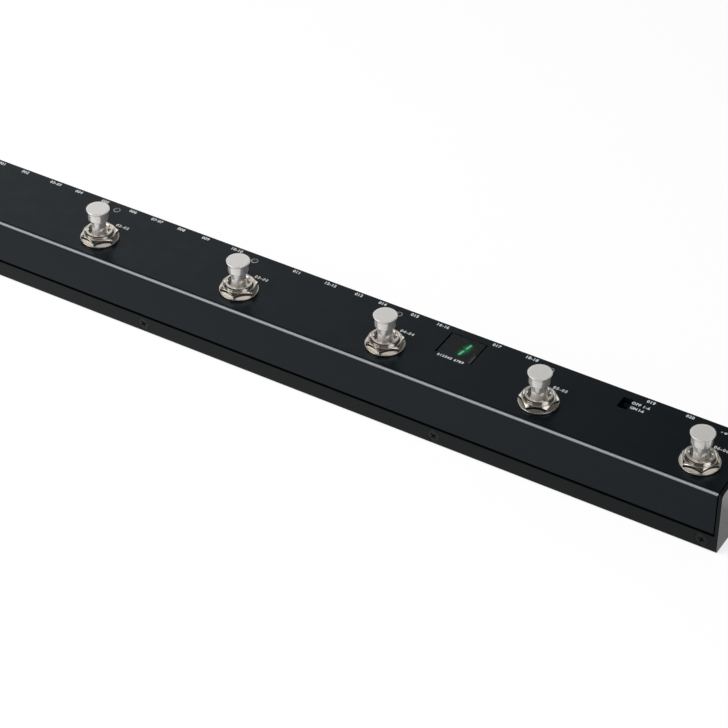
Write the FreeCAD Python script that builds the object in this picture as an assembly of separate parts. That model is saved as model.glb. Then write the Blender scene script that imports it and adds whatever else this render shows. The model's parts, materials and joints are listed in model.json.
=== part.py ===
"""Loop switcher pedal: a slim bar with footswitches on top and jacks along the back.

Millimetres. X runs along the bar, Y from front to back, Z up. The origin is the centre of
the underside of the base tray.
"""
import FreeCAD, Part
import math
import os

# Case
switch_pitch = 68.0
switch_count = 6
right_margin = 15.3
left_margin = 24.7
case_depth = 37.0
case_height = 28.6
panel_thickness = 2.0
sheet = 1.5
lip_thickness = 1.1
flange_height = 7.6
groove_height = 1.3
front_edge_radius = 1.8
rear_edge_radius = 0.5
bend_radius = 0.8
end_gap = 0.5
front_lip_foot = 0.6
rear_lip_depth = 6.5

# Clearances
sheet_clearance = 0.1
hole_clearance = 0.1
thread_clearance = 0.02
running_clearance = 0.05
touch_gap = 0.1

# Case screws, countersunk
screw_radius = 1.5
screw_head_radius = 2.8
screw_length = 4.8
screw_sink = 0.05
cross_length = 3.2
cross_width = 0.7
cross_depth = 0.9
front_screw_height = 4.0
rear_screw_drop = 3.4
outer_screw_from_end = 6.5
front_inner_screw_from_end = 121.7
rear_inner_screw_from_end = 72.0
clinch_nut_radius = 2.4
clinch_nut_thickness = 2.0

# Footswitches
switch_axis_from_front = 12.8
bushing_radius = 6.0
bushing_height = 4.5
bushing_mouth_depth = 2.0
bushing_flange_radius = 7.2
bushing_flange_thickness = 1.4
bushing_chamfer = 0.5
skirt_wall = 1.3
chamber_radius = 4.3
plunger_radius = 3.0
collar_thickness = 1.45
collar_gap = 0.15
plunger_tail = 0.5
head_foot = 10.0
head_foot_radius = 4.1
head_neck_radius = 4.3
head_disc_radius = 4.8
head_disc_thickness = 0.9
head_disc_bevel = 0.3
head_socket_depth = 3.1
button_height = 15.0
button_travel = 2.5
washer_radius = 8.0
washer_thickness = 1.0
nut_across_flats = 13.6
nut_thickness = 2.3
nut_chamfer_angle = 45
nut_turns = (59, 20, 44, 47, 47, 35)
cap_thickness = 0.8
cap_hole_radius = 2.2
spring_wire = 0.5
spring_coils = 3

# Push contacts on the main board
push_contact_width = 6.0
push_contact_height = 2.0
push_contact_nose_radius = 1.7
push_contact_gap = 0.6

# Indicator lights
light_radius = 1.5
light_from_switch = -5.2
light_from_rear = 4.5
light_length = 5.0
light_rise = 0.3
light_lead = 0.5
light_lead_spacing = 1.7

# Display
display_from_gap_middle = -7.35
display_from_rear = 10.75
display_width = 16.3
display_depth = 13.9
display_flange = 1.0
display_flange_thickness = 0.8
display_recess = 0.15
module_width = 12.6
module_depth = 12.4

# Slide switch
slide_from_gap_middle = -5.45
slide_from_rear = 7.6
slide_slot_width = 4.2
slide_slot_depth = 6.6
slide_housing_width = 5.6
slide_housing_depth = 9.0
slide_top_gap = 1.5
slide_wall = 0.9
slide_knob_size = 2.2
slide_knob_drop = 1.6
slide_foot_width = 3.4
slide_foot_depth = 4.0
slide_foot_height = 1.8
slide_travel = 2.6

# Quarter-inch jacks
loop_count = 6
jack_pair_pitch = 16.0
first_send_from_left = 38.9
last_return_from_right = 97.6
input_jack_from_right = 29.4
jack_bore_radius = 3.3
jack_width = 14.6
jack_height = 12.4
jack_depth = 26.0
jack_end_wall = 0.8
ferrule_radius = 4.7
ferrule_root = 4.0
ferrule_reach = 4.3
ferrule_chamfer = 0.4
jack_nut_across_flats = 12.7
jack_nut_thickness = 2.2
jack_nut_chamfer_angle = 30
jack_washer_radius = 7.0
jack_washer_thickness = 0.6
contact_width = 2.4
contact_thickness = 0.4
contact_slot_width = 3.0
contact_slot_reach = 13.0
contact_nose_radius = 0.7
contact_leg_foot = 0.5

# Power inlet
power_from_right = 13.7
power_width = 9.0
power_height = 11.2
power_depth = 13.0
power_nose_radius = 4.0
power_nose_reach = 0.8
power_bore_radius = 2.85
power_bore_depth = 10.8
power_pin_radius = 1.0
power_pin_recess = 1.3

# Boards
board_thickness = 1.6
jack_board_rise = 1.1
jack_board_end_gap = 10.0
jack_board_margin = 0.9
main_board_gap = 0.8
main_board_end_gap = 3.0
main_board_edge_gap = 3.4
pillar_across_flats = 5.0
pillar_from_front = 6.5
end_pillar_from_end = 7.5
end_pillar_from_rear = 10.5
board_screw_radius = 1.25
board_screw_head_radius = 2.2
board_screw_head = 0.7
board_screw_bite = 4.0
spacer_radius = 2.6
spacer_from_rear = 14.5
connector_from_right = 72.0
connector_length = 20.0
connector_width = 5.0
header_height = 2.5
relay_length = 14.0
relay_width = 9.0
relay_top_gap = 3.6
relay_skirt_gap = 1.0
chip_from_right = 70.0
chip_size = 10.0
chip_height = 1.6

# Worked out from the sizes above
case_length = left_margin + right_margin + (switch_count - 1) * switch_pitch
half_length = case_length / 2
front_y = -case_depth / 2
rear_y = case_depth / 2
panel_top = case_height
panel_under = case_height - panel_thickness
front_wall = sheet + sheet_clearance + lip_thickness
groove_top = flange_height + groove_height
rear_inner_y = rear_y - sheet
rear_lip_outer_y = rear_inner_y - sheet_clearance
rear_lip_inner_y = rear_lip_outer_y - lip_thickness
cover_half = half_length - sheet - end_gap
switch_y = front_y + switch_axis_from_front
jack_board_bottom = sheet + jack_board_rise
jack_board_top = jack_board_bottom + board_thickness
jack_axis_z = jack_board_top + jack_height / 2
jack_back_y = rear_inner_y - jack_depth
jack_board_front_y = jack_back_y - jack_board_margin
contact_bottom = jack_axis_z + jack_bore_radius + hole_clearance + contact_nose_radius - contact_thickness / 2
main_board_bottom = jack_board_top + jack_height + main_board_gap
main_board_top = main_board_bottom + board_thickness
relay_height = panel_under - main_board_top - relay_top_gap
skirt_radius = chamber_radius + skirt_wall
relay_y = switch_y + skirt_radius + relay_skirt_gap + relay_width / 2
slide_housing_height = panel_under - main_board_top - slide_top_gap
skirt_bottom = main_board_top + push_contact_height + push_contact_gap
cap_top = skirt_bottom + cap_thickness
collar_top = panel_top - collar_gap
collar_bottom = collar_top - collar_thickness
plunger_bottom = collar_bottom - plunger_tail
push_contact_top = plunger_bottom - button_travel - touch_gap
light_y = rear_y - light_from_rear
loops_length = case_length - first_send_from_left - last_return_from_right
loop_pitch = (loops_length - jack_pair_pitch) / (loop_count - 1)

X_AXIS = FreeCAD.Vector(1, 0, 0)
Y_AXIS = FreeCAD.Vector(0, 1, 0)
Z_AXIS = FreeCAD.Vector(0, 0, 1)


def block(x_range, y_range, z_range):
    """A box between three pairs of limits."""
    corner = FreeCAD.Vector(x_range[0], y_range[0], z_range[0])
    return Part.makeBox(
        x_range[1] - x_range[0], y_range[1] - y_range[0], z_range[1] - z_range[0], corner
    )


def spread(centre, width):
    """The two limits of a width about a centre."""
    return (centre - width / 2, centre + width / 2)


def rod(radius, start, length, axis=Z_AXIS):
    """A cylinder from a start point along an axis."""
    return Part.makeCylinder(radius, length, FreeCAD.Vector(*start), axis)


def tube(outer, inner, start, length, axis=Z_AXIS):
    """A round sleeve or ring."""
    return rod(outer, start, length, axis).cut(rod(inner, start, length, axis))


def hexagon(across_flats, start, height, axis=Z_AXIS, turn=0):
    """A six-sided prism along an axis, with a corner at a turn in degrees from the bar's length."""
    corner_radius = across_flats / math.sqrt(3)
    across = axis.cross(X_AXIS)
    base = FreeCAD.Vector(*start)
    corners = []
    for step in range(6):
        angle = math.radians(turn + 60 * step)
        arm = X_AXIS * math.cos(angle) + across * math.sin(angle)
        corners.append(base + arm * corner_radius)
    outline = Part.makePolygon(corners + corners[:1])
    return Part.Face(outline).extrude(axis * height)


def chamfered_nut(across_flats, bore, start, height, angle, axis=Z_AXIS, turn=0):
    """A hexagon nut whose corners are taken down at an angle at its outer face."""
    corner_radius = across_flats / math.sqrt(3)
    base = FreeCAD.Vector(*start)
    drop = (corner_radius - across_flats / 2) * math.tan(math.radians(angle))
    lower = Part.makeCylinder(corner_radius, height - drop, base, axis)
    upper = Part.makeCone(corner_radius, across_flats / 2, drop, base + axis * (height - drop), axis)
    prism = hexagon(across_flats, start, height, axis, turn)
    return prism.common(lower.fuse(upper)).cut(rod(bore, start, height, axis))


def turned(profile, x, y):
    """A solid turned about an upright axis, from (radius, height) points."""
    points = [FreeCAD.Vector(x + radius, y, height) for radius, height in profile]
    outline = Part.makePolygon(points + points[:1])
    return Part.Face(outline).revolve(FreeCAD.Vector(x, y, 0), Z_AXIS, 360)


def coil_points(base, radius, height, coils):
    """The points of a coil at each quarter turn about an upright axis, and its headings there."""
    quarters = 4 * coils
    places = []
    headings = []
    for quarter in range(quarters + 1):
        turn = math.radians(90 * quarter)
        arm = FreeCAD.Vector(math.cos(turn), math.sin(turn), 0)
        heading = Z_AXIS.cross(arm) * radius + Z_AXIS * (height / coils / (2 * math.pi))
        places.append(base + arm * radius + Z_AXIS * (height * quarter / quarters))
        headings.append(heading.normalize())
    return places, headings


def rounded_corner(start, corner, end):
    """The arc between two points that are equally far from the corner of its end lines."""
    middle = (start + end) * 0.5
    half_chord = start.distanceToPoint(end) / 2
    corner_height = middle.distanceToPoint(corner)
    arc_height = half_chord * math.tan(math.atan2(corner_height, half_chord) / 2)
    return Part.Arc(start, middle + (corner - middle) * (arc_height / corner_height), end).toShape()


def joined_arcs(start, start_heading, end, end_heading):
    """Two arcs that leave one point and reach another along the given headings."""
    span = end - start
    bend = 2 * (1 - start_heading.dot(end_heading))
    along = 2 * span.dot(start_heading + end_heading)
    reach = (math.sqrt(along ** 2 + 4 * bend * span.dot(span)) - along) / (2 * bend)
    first_corner = start + start_heading * reach
    last_corner = end - end_heading * reach
    joint = (first_corner + last_corner) * 0.5
    return [rounded_corner(start, first_corner, joint), rounded_corner(joint, last_corner, end)]


def long_edges(shape, places):
    """The edges along X whose middle is at one of the given (y, z) places."""
    near = 0.01
    found = []
    for edge in shape.Edges:
        middle = edge.CenterOfMass
        span = edge.BoundBox
        spans_x = span.XLength > near and span.YLength < near and span.ZLength < near
        for y, z in places:
            if spans_x and abs(middle.y - y) < near and abs(middle.z - z) < near:
                found.append(edge)
    return found


def save(node, solids):
    """Writes one node as one STEP file."""
    shape = solids[0] if len(solids) == 1 else Part.makeCompound(solids)
    shape.exportStep(os.path.join("parts", node + ".step"))


def switch_places():
    """The footswitch centres along X, from the right end to the left."""
    return [half_length - right_margin - index * switch_pitch for index in range(switch_count)]


def gap_middles():
    """The middles between neighbouring footswitches, from the right to the left."""
    places = switch_places()
    return [(places[index] + places[index + 1]) / 2 for index in range(switch_count - 1)]


def send_places():
    """The send jack of each loop, from the left to the right."""
    first = -half_length + first_send_from_left
    return [first + index * loop_pitch for index in range(loop_count)]


def jack_places():
    """Each quarter-inch jack's node name and place along X."""
    places = {}
    for index, x in enumerate(send_places(), start=1):
        places[f"send_jack_{index}"] = x
        places[f"return_jack_{index}"] = x + jack_pair_pitch
    places["input_jack"] = half_length - input_jack_from_right
    places["output_jack"] = half_length - input_jack_from_right - jack_pair_pitch
    return places


def front_screw_places():
    """The case screws in the front flange."""
    outer = half_length - outer_screw_from_end
    inner = half_length - front_inner_screw_from_end
    return [-outer, -inner, inner, outer]


def rear_screw_places():
    """The case screws in the rear wall."""
    outer = half_length - outer_screw_from_end
    inner = half_length - rear_inner_screw_from_end
    return [-outer, -inner, inner, outer]


def pillar_places():
    """The pillars between the top panel and the main board."""
    places = [(x, front_y + pillar_from_front) for x in gap_middles()]
    end_x = half_length - end_pillar_from_end
    return places + [(end_x, rear_y - end_pillar_from_rear), (-end_x, rear_y - end_pillar_from_rear)]


def spacer_places():
    """The spacers under the jack board, in the spaces between pairs of jacks."""
    y = rear_y - spacer_from_rear
    half_space = (loop_pitch - jack_pair_pitch) / 2
    places = [(x - half_space, y) for x in send_places()]
    last_return = half_length - last_return_from_right
    output = jack_places()["output_jack"]
    return places + [(last_return + half_space, y), (output - jack_width / 2 - spacer_radius, y)]


def outer_outline(x, length):
    """The bar's outer block, with the rounded edges of its long sides."""
    whole = block((x, x + length), (front_y, rear_y), (0, panel_top))
    whole = whole.makeFillet(front_edge_radius, long_edges(whole, [(front_y, panel_top)]))
    whole = whole.makeFillet(rear_edge_radius, long_edges(whole, [(rear_y, panel_top)]))
    return whole.makeFillet(bend_radius, long_edges(whole, [(front_y, 0), (rear_y, 0)]))


def countersunk(x, y, z, inward, extra):
    """A countersunk screw's envelope, its face flush with the sheet, grown by a clearance."""
    axis = Y_AXIS * inward
    head_depth = screw_head_radius - screw_radius
    start = FreeCAD.Vector(x, y, z)
    head = Part.makeCone(screw_head_radius + extra, screw_radius + extra, head_depth, start, axis)
    shank_start = start + axis * head_depth
    shank = Part.makeCylinder(screw_radius + extra, screw_length - head_depth, shank_start, axis)
    return head.fuse(shank)


def make_base_tray():
    """Floor, front flange, rear wall and full-height end walls, folded from one sheet."""
    tray = outer_outline(-half_length, case_length)
    inside_x = (-half_length + sheet, half_length - sheet)
    tray = tray.cut(block(inside_x, (front_y + sheet, rear_inner_y), (sheet, panel_top)))
    tray = tray.cut(block(inside_x, (front_y, front_y + sheet), (flange_height, panel_top)))
    rear_wall_top = panel_under - sheet_clearance
    tray = tray.cut(block(inside_x, (rear_inner_y, rear_y), (rear_wall_top, panel_top)))
    for x in front_screw_places():
        tray = tray.cut(countersunk(x, front_y, front_screw_height, 1, running_clearance))
    for x in rear_screw_places():
        tray = tray.cut(countersunk(x, rear_y, panel_under - rear_screw_drop, -1, running_clearance))
    for x in jack_places().values():
        jack_hole = (x, rear_inner_y, jack_axis_z)
        tray = tray.cut(rod(ferrule_radius + hole_clearance, jack_hole, sheet, Y_AXIS))
    power_hole = (half_length - power_from_right, rear_inner_y, jack_axis_z)
    tray = tray.cut(rod(power_nose_radius + hole_clearance, power_hole, sheet, Y_AXIS))
    return tray.removeSplitter()


def display_place():
    """The display's centre on the top panel."""
    return gap_middles()[1] + display_from_gap_middle, rear_y - display_from_rear


def slide_place():
    """The slide switch slot's centre on the top panel."""
    return gap_middles()[0] + slide_from_gap_middle, rear_y - slide_from_rear


def make_top_cover():
    """Top panel, front wall with its lower lip, and the rear lip, with all the panel's holes."""
    cover = outer_outline(-cover_half, 2 * cover_half)
    along = (-cover_half, cover_half)
    cover = cover.cut(block(along, (front_y + front_wall, rear_lip_inner_y), (0, panel_under)))
    cover = cover.cut(block(along, (rear_lip_inner_y, rear_y), (0, panel_under - rear_lip_depth)))
    cover = cover.cut(block(along, (rear_lip_outer_y, rear_y), (0, panel_under)))
    cover = cover.cut(block(along, (front_y, front_y + front_wall - lip_thickness), (0, groove_top)))
    cover = cover.cut(block(along, (front_y, front_y + front_wall), (0, sheet + front_lip_foot)))
    for x in front_screw_places():
        start = (x, front_y, front_screw_height)
        cover = cover.cut(rod(screw_radius + hole_clearance, start, front_wall, Y_AXIS))
    for x in rear_screw_places():
        start = (x, rear_lip_inner_y, panel_under - rear_screw_drop)
        cover = cover.cut(rod(screw_radius + hole_clearance, start, lip_thickness, Y_AXIS))
    for x in switch_places():
        cover = cover.cut(rod(bushing_radius + hole_clearance, (x, switch_y, panel_under), panel_thickness))
        light_hole = (x + light_from_switch, light_y, panel_under)
        cover = cover.cut(rod(light_radius + hole_clearance, light_hole, panel_thickness))
    x, y = display_place()
    through = (panel_under, panel_top)
    cover = cover.cut(block(spread(x, display_width), spread(y, display_depth), through))
    x, y = slide_place()
    cover = cover.cut(block(spread(x, slide_slot_width), spread(y, slide_slot_depth), through))
    return cover.removeSplitter()


def make_case_screws():
    """Eight countersunk screws with a cross in each head."""
    screws = []
    rows = [(x, front_y + screw_sink, front_screw_height, 1) for x in front_screw_places()]
    rows += [(x, rear_y - screw_sink, panel_under - rear_screw_drop, -1) for x in rear_screw_places()]
    for x, y, z, inward in rows:
        screw = countersunk(x, y, z, inward, 0)
        depth = spread(y, 2 * cross_depth)
        screw = screw.cut(block(spread(x, cross_length), depth, spread(z, cross_width)))
        screw = screw.cut(block(spread(x, cross_width), depth, spread(z, cross_length)))
        screws.append(screw)
    return screws


def make_clinch_nuts():
    """The threaded bushes pressed onto the inside of the cover's lips."""
    bore = screw_radius + thread_clearance
    front_start = front_y + front_wall
    rear_start = rear_lip_inner_y - clinch_nut_thickness
    rear_z = panel_under - rear_screw_drop
    starts = [(x, front_start, front_screw_height) for x in front_screw_places()]
    starts += [(x, rear_start, rear_z) for x in rear_screw_places()]
    return [tube(clinch_nut_radius, bore, start, clinch_nut_thickness, Y_AXIS) for start in starts]


def make_footswitch_bushing(x):
    """The threaded bushing, its flange under the panel and the skirt around the spring."""
    bore = plunger_radius + running_clearance
    mouth = chamber_radius
    top = panel_top + bushing_height
    mouth_floor = top - bushing_mouth_depth
    flange_under = panel_under - bushing_flange_thickness
    profile = [
        (chamber_radius, skirt_bottom),
        (skirt_radius, skirt_bottom),
        (skirt_radius, flange_under),
        (bushing_flange_radius, flange_under),
        (bushing_flange_radius, panel_under),
        (bushing_radius, panel_under),
        (bushing_radius, top - bushing_chamfer),
        (bushing_radius - bushing_chamfer, top),
        (mouth, top),
        (mouth, mouth_floor),
        (bore, mouth_floor),
        (bore, panel_top),
        (chamber_radius, panel_top),
    ]
    return turned(profile, x, switch_y)


def make_footswitch_button(x):
    """The push head, pressed onto the top of its plunger."""
    foot = panel_top + head_foot
    top = panel_top + button_height
    disc_under = top - head_disc_thickness
    socket_top = foot + head_socket_depth
    profile = [
        (plunger_radius, foot),
        (head_foot_radius, foot),
        (head_neck_radius, disc_under - head_disc_bevel),
        (head_disc_radius, disc_under + head_disc_bevel),
        (head_disc_radius, top - head_disc_bevel),
        (head_disc_radius - head_disc_bevel, top),
        (0, top),
        (0, socket_top),
        (plunger_radius, socket_top),
    ]
    return turned(profile, x, switch_y)


def make_footswitch_plunger(x):
    """The stem under the head, with the collar that keeps it in the bushing."""
    collar = chamber_radius - 2 * running_clearance
    top = panel_top + head_foot + head_socket_depth
    profile = [
        (0, plunger_bottom),
        (plunger_radius, plunger_bottom),
        (plunger_radius, collar_bottom),
        (collar, collar_bottom),
        (collar, collar_top),
        (plunger_radius, collar_top),
        (plunger_radius, top),
        (0, top),
    ]
    return turned(profile, x, switch_y)


def make_footswitch_spring(x):
    """The return spring: a round wire coil between the bottom cap and the plunger's collar."""
    wire_radius = spring_wire / 2
    coil_radius = chamber_radius - 2 * hole_clearance - wire_radius
    coil_height = collar_bottom - cap_top - spring_wire
    base = FreeCAD.Vector(x, switch_y, cap_top + wire_radius)
    places, headings = coil_points(base, coil_radius, coil_height, spring_coils)
    path = []
    for index in range(len(places) - 1):
        path += joined_arcs(places[index], headings[index], places[index + 1], headings[index + 1])
    section = Part.Wire(Part.makeCircle(wire_radius, places[0], headings[0]))
    return Part.Wire(path).makePipeShell([section], True)


def make_footswitch_cap(x):
    """The cap that closes the skirt and carries the spring, with a hole for the push contact."""
    return tube(chamber_radius, cap_hole_radius, (x, switch_y, skirt_bottom), cap_thickness)


def make_footswitch_nut(x, turn):
    """The hexagon nut that clamps the bushing to the panel, turned as it was tightened."""
    start = (x, switch_y, panel_top + washer_thickness)
    bore = bushing_radius + thread_clearance
    return chamfered_nut(nut_across_flats, bore, start, nut_thickness, nut_chamfer_angle, Z_AXIS, turn)


def make_footswitch_washer(x):
    """The plain washer under the nut."""
    start = (x, switch_y, panel_top)
    return tube(washer_radius, bushing_radius + hole_clearance, start, washer_thickness)


def make_push_contact(x):
    """The push contact on the board under a footswitch."""
    body_z = (main_board_top, main_board_top + push_contact_height)
    body = block(spread(x, push_contact_width), spread(switch_y, push_contact_width), body_z)
    nose = rod(push_contact_nose_radius, (x, switch_y, body_z[1]), push_contact_top - body_z[1])
    return body.fuse(nose)


def make_indicator_light(x):
    """A small round light on two leads, its dome just above the panel."""
    light_x = x + light_from_switch
    dome_base = panel_top + light_rise - light_radius / 2
    base = dome_base - light_length
    body = rod(light_radius, (light_x, light_y, base), light_length)
    dome = Part.makeSphere(light_radius, FreeCAD.Vector(light_x, light_y, dome_base - light_radius / 2))
    light = body.fuse(dome)
    for side in (-1, 1):
        lead_x = spread(light_x + side * light_lead_spacing / 2, light_lead)
        light = light.fuse(block(lead_x, spread(light_y, light_lead), (main_board_top, base + light_lead)))
    return light.removeSplitter()


def make_display_window():
    """The smoked window: a pane in the panel's cut-out with a flange glued under the panel."""
    x, y = display_place()
    gap = 2 * hole_clearance
    pane_z = (panel_under, panel_top - display_recess)
    pane = block(spread(x, display_width - gap), spread(y, display_depth - gap), pane_z)
    flange_z = (panel_under - display_flange_thickness, panel_under)
    grow = 2 * display_flange
    flange = block(spread(x, display_width + grow), spread(y, display_depth + grow), flange_z)
    return pane.fuse(flange).removeSplitter()


def make_display_module():
    """The one-digit display block between the board and the window."""
    x, y = display_place()
    top = panel_under - display_flange_thickness - touch_gap
    return block(spread(x, module_width), spread(y, module_depth), (main_board_top, top))


def slide_channel():
    """The space in the slide switch's housing that its foot runs in."""
    x, y = slide_place()
    gap = 2 * hole_clearance
    top = main_board_top + slide_housing_height - slide_wall
    height = slide_foot_height + gap
    width = slide_foot_width + gap
    depth = slide_foot_depth + slide_travel + gap
    return block(spread(x, width), spread(y, depth), (top - height, top))


def make_slide_housing():
    """The slide switch's housing, with the channel for its foot and the slot for its knob."""
    x, y = slide_place()
    z_range = (main_board_top, main_board_top + slide_housing_height)
    housing = block(spread(x, slide_housing_width), spread(y, slide_housing_depth), z_range)
    housing = housing.cut(slide_channel())
    gap = 2 * hole_clearance
    slot_z = (z_range[1] - slide_wall, z_range[1])
    slot_y = spread(y, slide_knob_size + slide_travel + gap)
    return housing.cut(block(spread(x, slide_knob_size + gap), slot_y, slot_z))


def make_slide_knob():
    """The sliding knob and its foot, at the rear end of their travel."""
    x, y = slide_place()
    y += slide_travel / 2
    foot_top = main_board_top + slide_housing_height - slide_wall - hole_clearance
    foot_z = (foot_top - slide_foot_height, foot_top)
    foot = block(spread(x, slide_foot_width), spread(y, slide_foot_depth), foot_z)
    stem_z = (foot_top, panel_top - slide_knob_drop)
    stem = block(spread(x, slide_knob_size), spread(y, slide_knob_size), stem_z)
    return foot.fuse(stem).removeSplitter()


def make_jack(x):
    """A jack's housing, with its plug bore and the slot that its tip contact lies in."""
    z_range = (jack_board_top, jack_board_top + jack_height)
    housing = block(spread(x, jack_width), (jack_back_y, rear_inner_y), z_range)
    bore_start = (x, jack_back_y + jack_end_wall, jack_axis_z)
    housing = housing.cut(rod(jack_bore_radius, bore_start, jack_depth - jack_end_wall, Y_AXIS))
    ferrule_start = (x, rear_inner_y - ferrule_root, jack_axis_z)
    housing = housing.cut(rod(ferrule_radius, ferrule_start, ferrule_root, Y_AXIS))
    slot_bottom = jack_axis_z + jack_bore_radius - contact_nose_radius
    slot_z = (slot_bottom, contact_bottom + contact_thickness + hole_clearance)
    slot_y = (jack_back_y, jack_back_y + contact_slot_reach)
    return housing.cut(block(spread(x, contact_slot_width), slot_y, slot_z))


def make_jack_ferrule(x):
    """The threaded ferrule that passes through the rear wall."""
    start = rear_inner_y - ferrule_root
    length = ferrule_root + sheet + ferrule_reach
    ferrule = tube(ferrule_radius, jack_bore_radius, (x, start, jack_axis_z), length, Y_AXIS)
    cone_base = FreeCAD.Vector(x, start + length - ferrule_chamfer, jack_axis_z)
    ring = rod(ferrule_radius, (x, cone_base.y, jack_axis_z), ferrule_chamfer, Y_AXIS)
    cone = Part.makeCone(ferrule_radius, ferrule_radius - ferrule_chamfer, ferrule_chamfer, cone_base, Y_AXIS)
    return ferrule.cut(ring.cut(cone))


def make_jack_nut(x):
    """The hexagon nut on a jack's ferrule."""
    start = (x, rear_y + jack_washer_thickness, jack_axis_z)
    bore = ferrule_radius + thread_clearance
    return chamfered_nut(jack_nut_across_flats, bore, start, jack_nut_thickness, jack_nut_chamfer_angle, Y_AXIS)


def make_jack_washer(x):
    """The washer under a jack's nut."""
    start = (x, rear_y, jack_axis_z)
    return tube(jack_washer_radius, ferrule_radius + hole_clearance, start, jack_washer_thickness, Y_AXIS)


def make_jack_contact(x):
    """The tip contact: a leaf over the bore with a round nose, and a leg down to the board."""
    leaf_z = (contact_bottom, contact_bottom + contact_thickness)
    width = spread(x, contact_width)
    leaf_start = jack_back_y - contact_thickness
    leaf = block(width, (leaf_start, jack_back_y + contact_slot_reach - contact_thickness), leaf_z)
    leg_foot = sheet + contact_leg_foot
    leg = block(width, (leaf_start, jack_back_y), (leg_foot, leaf_z[1]))
    nose_z = leaf_z[0] + contact_thickness / 2
    nose_y = jack_back_y + contact_slot_reach / 2
    nose = rod(contact_nose_radius, (width[0], nose_y, nose_z), contact_width, X_AXIS)
    above_z = (leaf_z[1], leaf_z[1] + contact_nose_radius)
    above = block(width, spread(nose_y, 2 * contact_nose_radius), above_z)
    return leaf.fuse(leg).fuse(nose.cut(above)).removeSplitter()


def make_power_inlet():
    """The power inlet's housing, with its round nose in the rear wall."""
    x = half_length - power_from_right
    z_range = (jack_board_top, jack_board_top + power_height)
    housing = block(spread(x, power_width), (rear_inner_y - power_depth, rear_inner_y), z_range)
    nose_length = sheet + power_nose_reach
    housing = housing.fuse(rod(power_nose_radius, (x, rear_inner_y, jack_axis_z), nose_length, Y_AXIS))
    bore_end = rear_inner_y + nose_length - power_bore_depth
    housing = housing.cut(rod(power_bore_radius, (x, bore_end, jack_axis_z), power_bore_depth, Y_AXIS))
    pin_start = (x, rear_inner_y - power_depth, jack_axis_z)
    return housing.cut(rod(power_pin_radius, pin_start, power_depth, Y_AXIS)).removeSplitter()


def make_power_pin():
    """The power inlet's centre pin, with a round tip."""
    x = half_length - power_from_right
    back_y = rear_inner_y - power_depth
    tip_y = rear_y + power_nose_reach - power_pin_recess - power_pin_radius
    pin = rod(power_pin_radius, (x, back_y, jack_axis_z), tip_y - back_y, Y_AXIS)
    tip = Part.makeSphere(power_pin_radius, FreeCAD.Vector(x, tip_y, jack_axis_z))
    return pin.fuse(tip).removeSplitter()


def make_main_board():
    """The main circuit board, with a hole for each pillar's screw and notches for the rear screws."""
    along = spread(0, 2 * (half_length - main_board_end_gap))
    across = (front_y + main_board_edge_gap, rear_y - main_board_edge_gap)
    board = block(along, across, (main_board_bottom, main_board_top))
    for x, y in pillar_places():
        hole = rod(board_screw_radius + hole_clearance, (x, y, main_board_bottom), board_thickness)
        board = board.cut(hole)
    notch_y = (rear_y - screw_length - hole_clearance, rear_y)
    for x in rear_screw_places():
        notch_x = spread(x, 2 * (clinch_nut_radius + hole_clearance))
        board = board.cut(block(notch_x, notch_y, (main_board_bottom, main_board_top)))
    return board


def make_jack_board():
    """The lower circuit board under the jacks, with holes for its screws and the contact legs."""
    along = spread(0, 2 * (half_length - jack_board_end_gap))
    across = (jack_board_front_y, rear_inner_y - end_gap)
    board = block(along, across, (jack_board_bottom, jack_board_top))
    for x, y in spacer_places():
        hole = rod(board_screw_radius + hole_clearance, (x, y, jack_board_bottom), board_thickness)
        board = board.cut(hole)
    slot_y = (jack_back_y - contact_thickness - hole_clearance, jack_back_y + hole_clearance)
    for x in jack_places().values():
        slot_x = spread(x, contact_width + 2 * hole_clearance)
        board = board.cut(block(slot_x, slot_y, (jack_board_bottom, jack_board_top)))
    return board


def make_pillar(x, y):
    """A threaded hexagon pillar between the top panel and the main board."""
    height = panel_under - main_board_top
    pillar = hexagon(pillar_across_flats, (x, y, main_board_top), height)
    thread_radius = board_screw_radius + thread_clearance
    return pillar.cut(rod(thread_radius, (x, y, main_board_top), board_screw_bite + touch_gap))


def make_spacer(x, y):
    """A round spacer between the tray's floor and the jack board."""
    return tube(spacer_radius, board_screw_radius + thread_clearance, (x, y, sheet), jack_board_rise)


def make_board_screw(x, y, seat_z, upward, bite):
    """A pan-head screw whose head sits on a board, with its shank through it."""
    axis = Z_AXIS * upward
    start = FreeCAD.Vector(x, y, seat_z)
    head = Part.makeCylinder(board_screw_head_radius, board_screw_head, start - axis * board_screw_head, axis)
    shank = Part.makeCylinder(board_screw_radius, board_thickness + bite, start, axis)
    screw = head.fuse(shank)
    slot_z = spread(seat_z - upward * board_screw_head, board_screw_head)
    slot = block(spread(x, 2 * board_screw_radius), spread(y, cross_width), slot_z)
    cross = block(spread(x, cross_width), spread(y, 2 * board_screw_radius), slot_z)
    return screw.cut(slot).cut(cross)


def make_board_screws():
    """The screws of both boards."""
    screws = [make_board_screw(x, y, main_board_bottom, 1, board_screw_bite) for x, y in pillar_places()]
    lower_bite = jack_board_rise - touch_gap
    screws += [make_board_screw(x, y, jack_board_top, -1, lower_bite) for x, y in spacer_places()]
    return screws


def make_board_connector():
    """The header on the jack board and the socket on the main board, plugged together."""
    x = spread(half_length - connector_from_right, connector_length)
    y = spread(switch_y, connector_width)
    header_top = jack_board_top + header_height
    header = block(x, y, (jack_board_top, header_top))
    socket = block(x, y, (header_top, main_board_bottom))
    return [header, socket]


def make_relays():
    """One relay for each loop, on the main board above its pair of jacks."""
    relays = []
    for x in send_places():
        along = spread(x + jack_pair_pitch / 2, relay_length)
        across = spread(relay_y, relay_width)
        relays.append(block(along, across, (main_board_top, main_board_top + relay_height)))
    return relays


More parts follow.
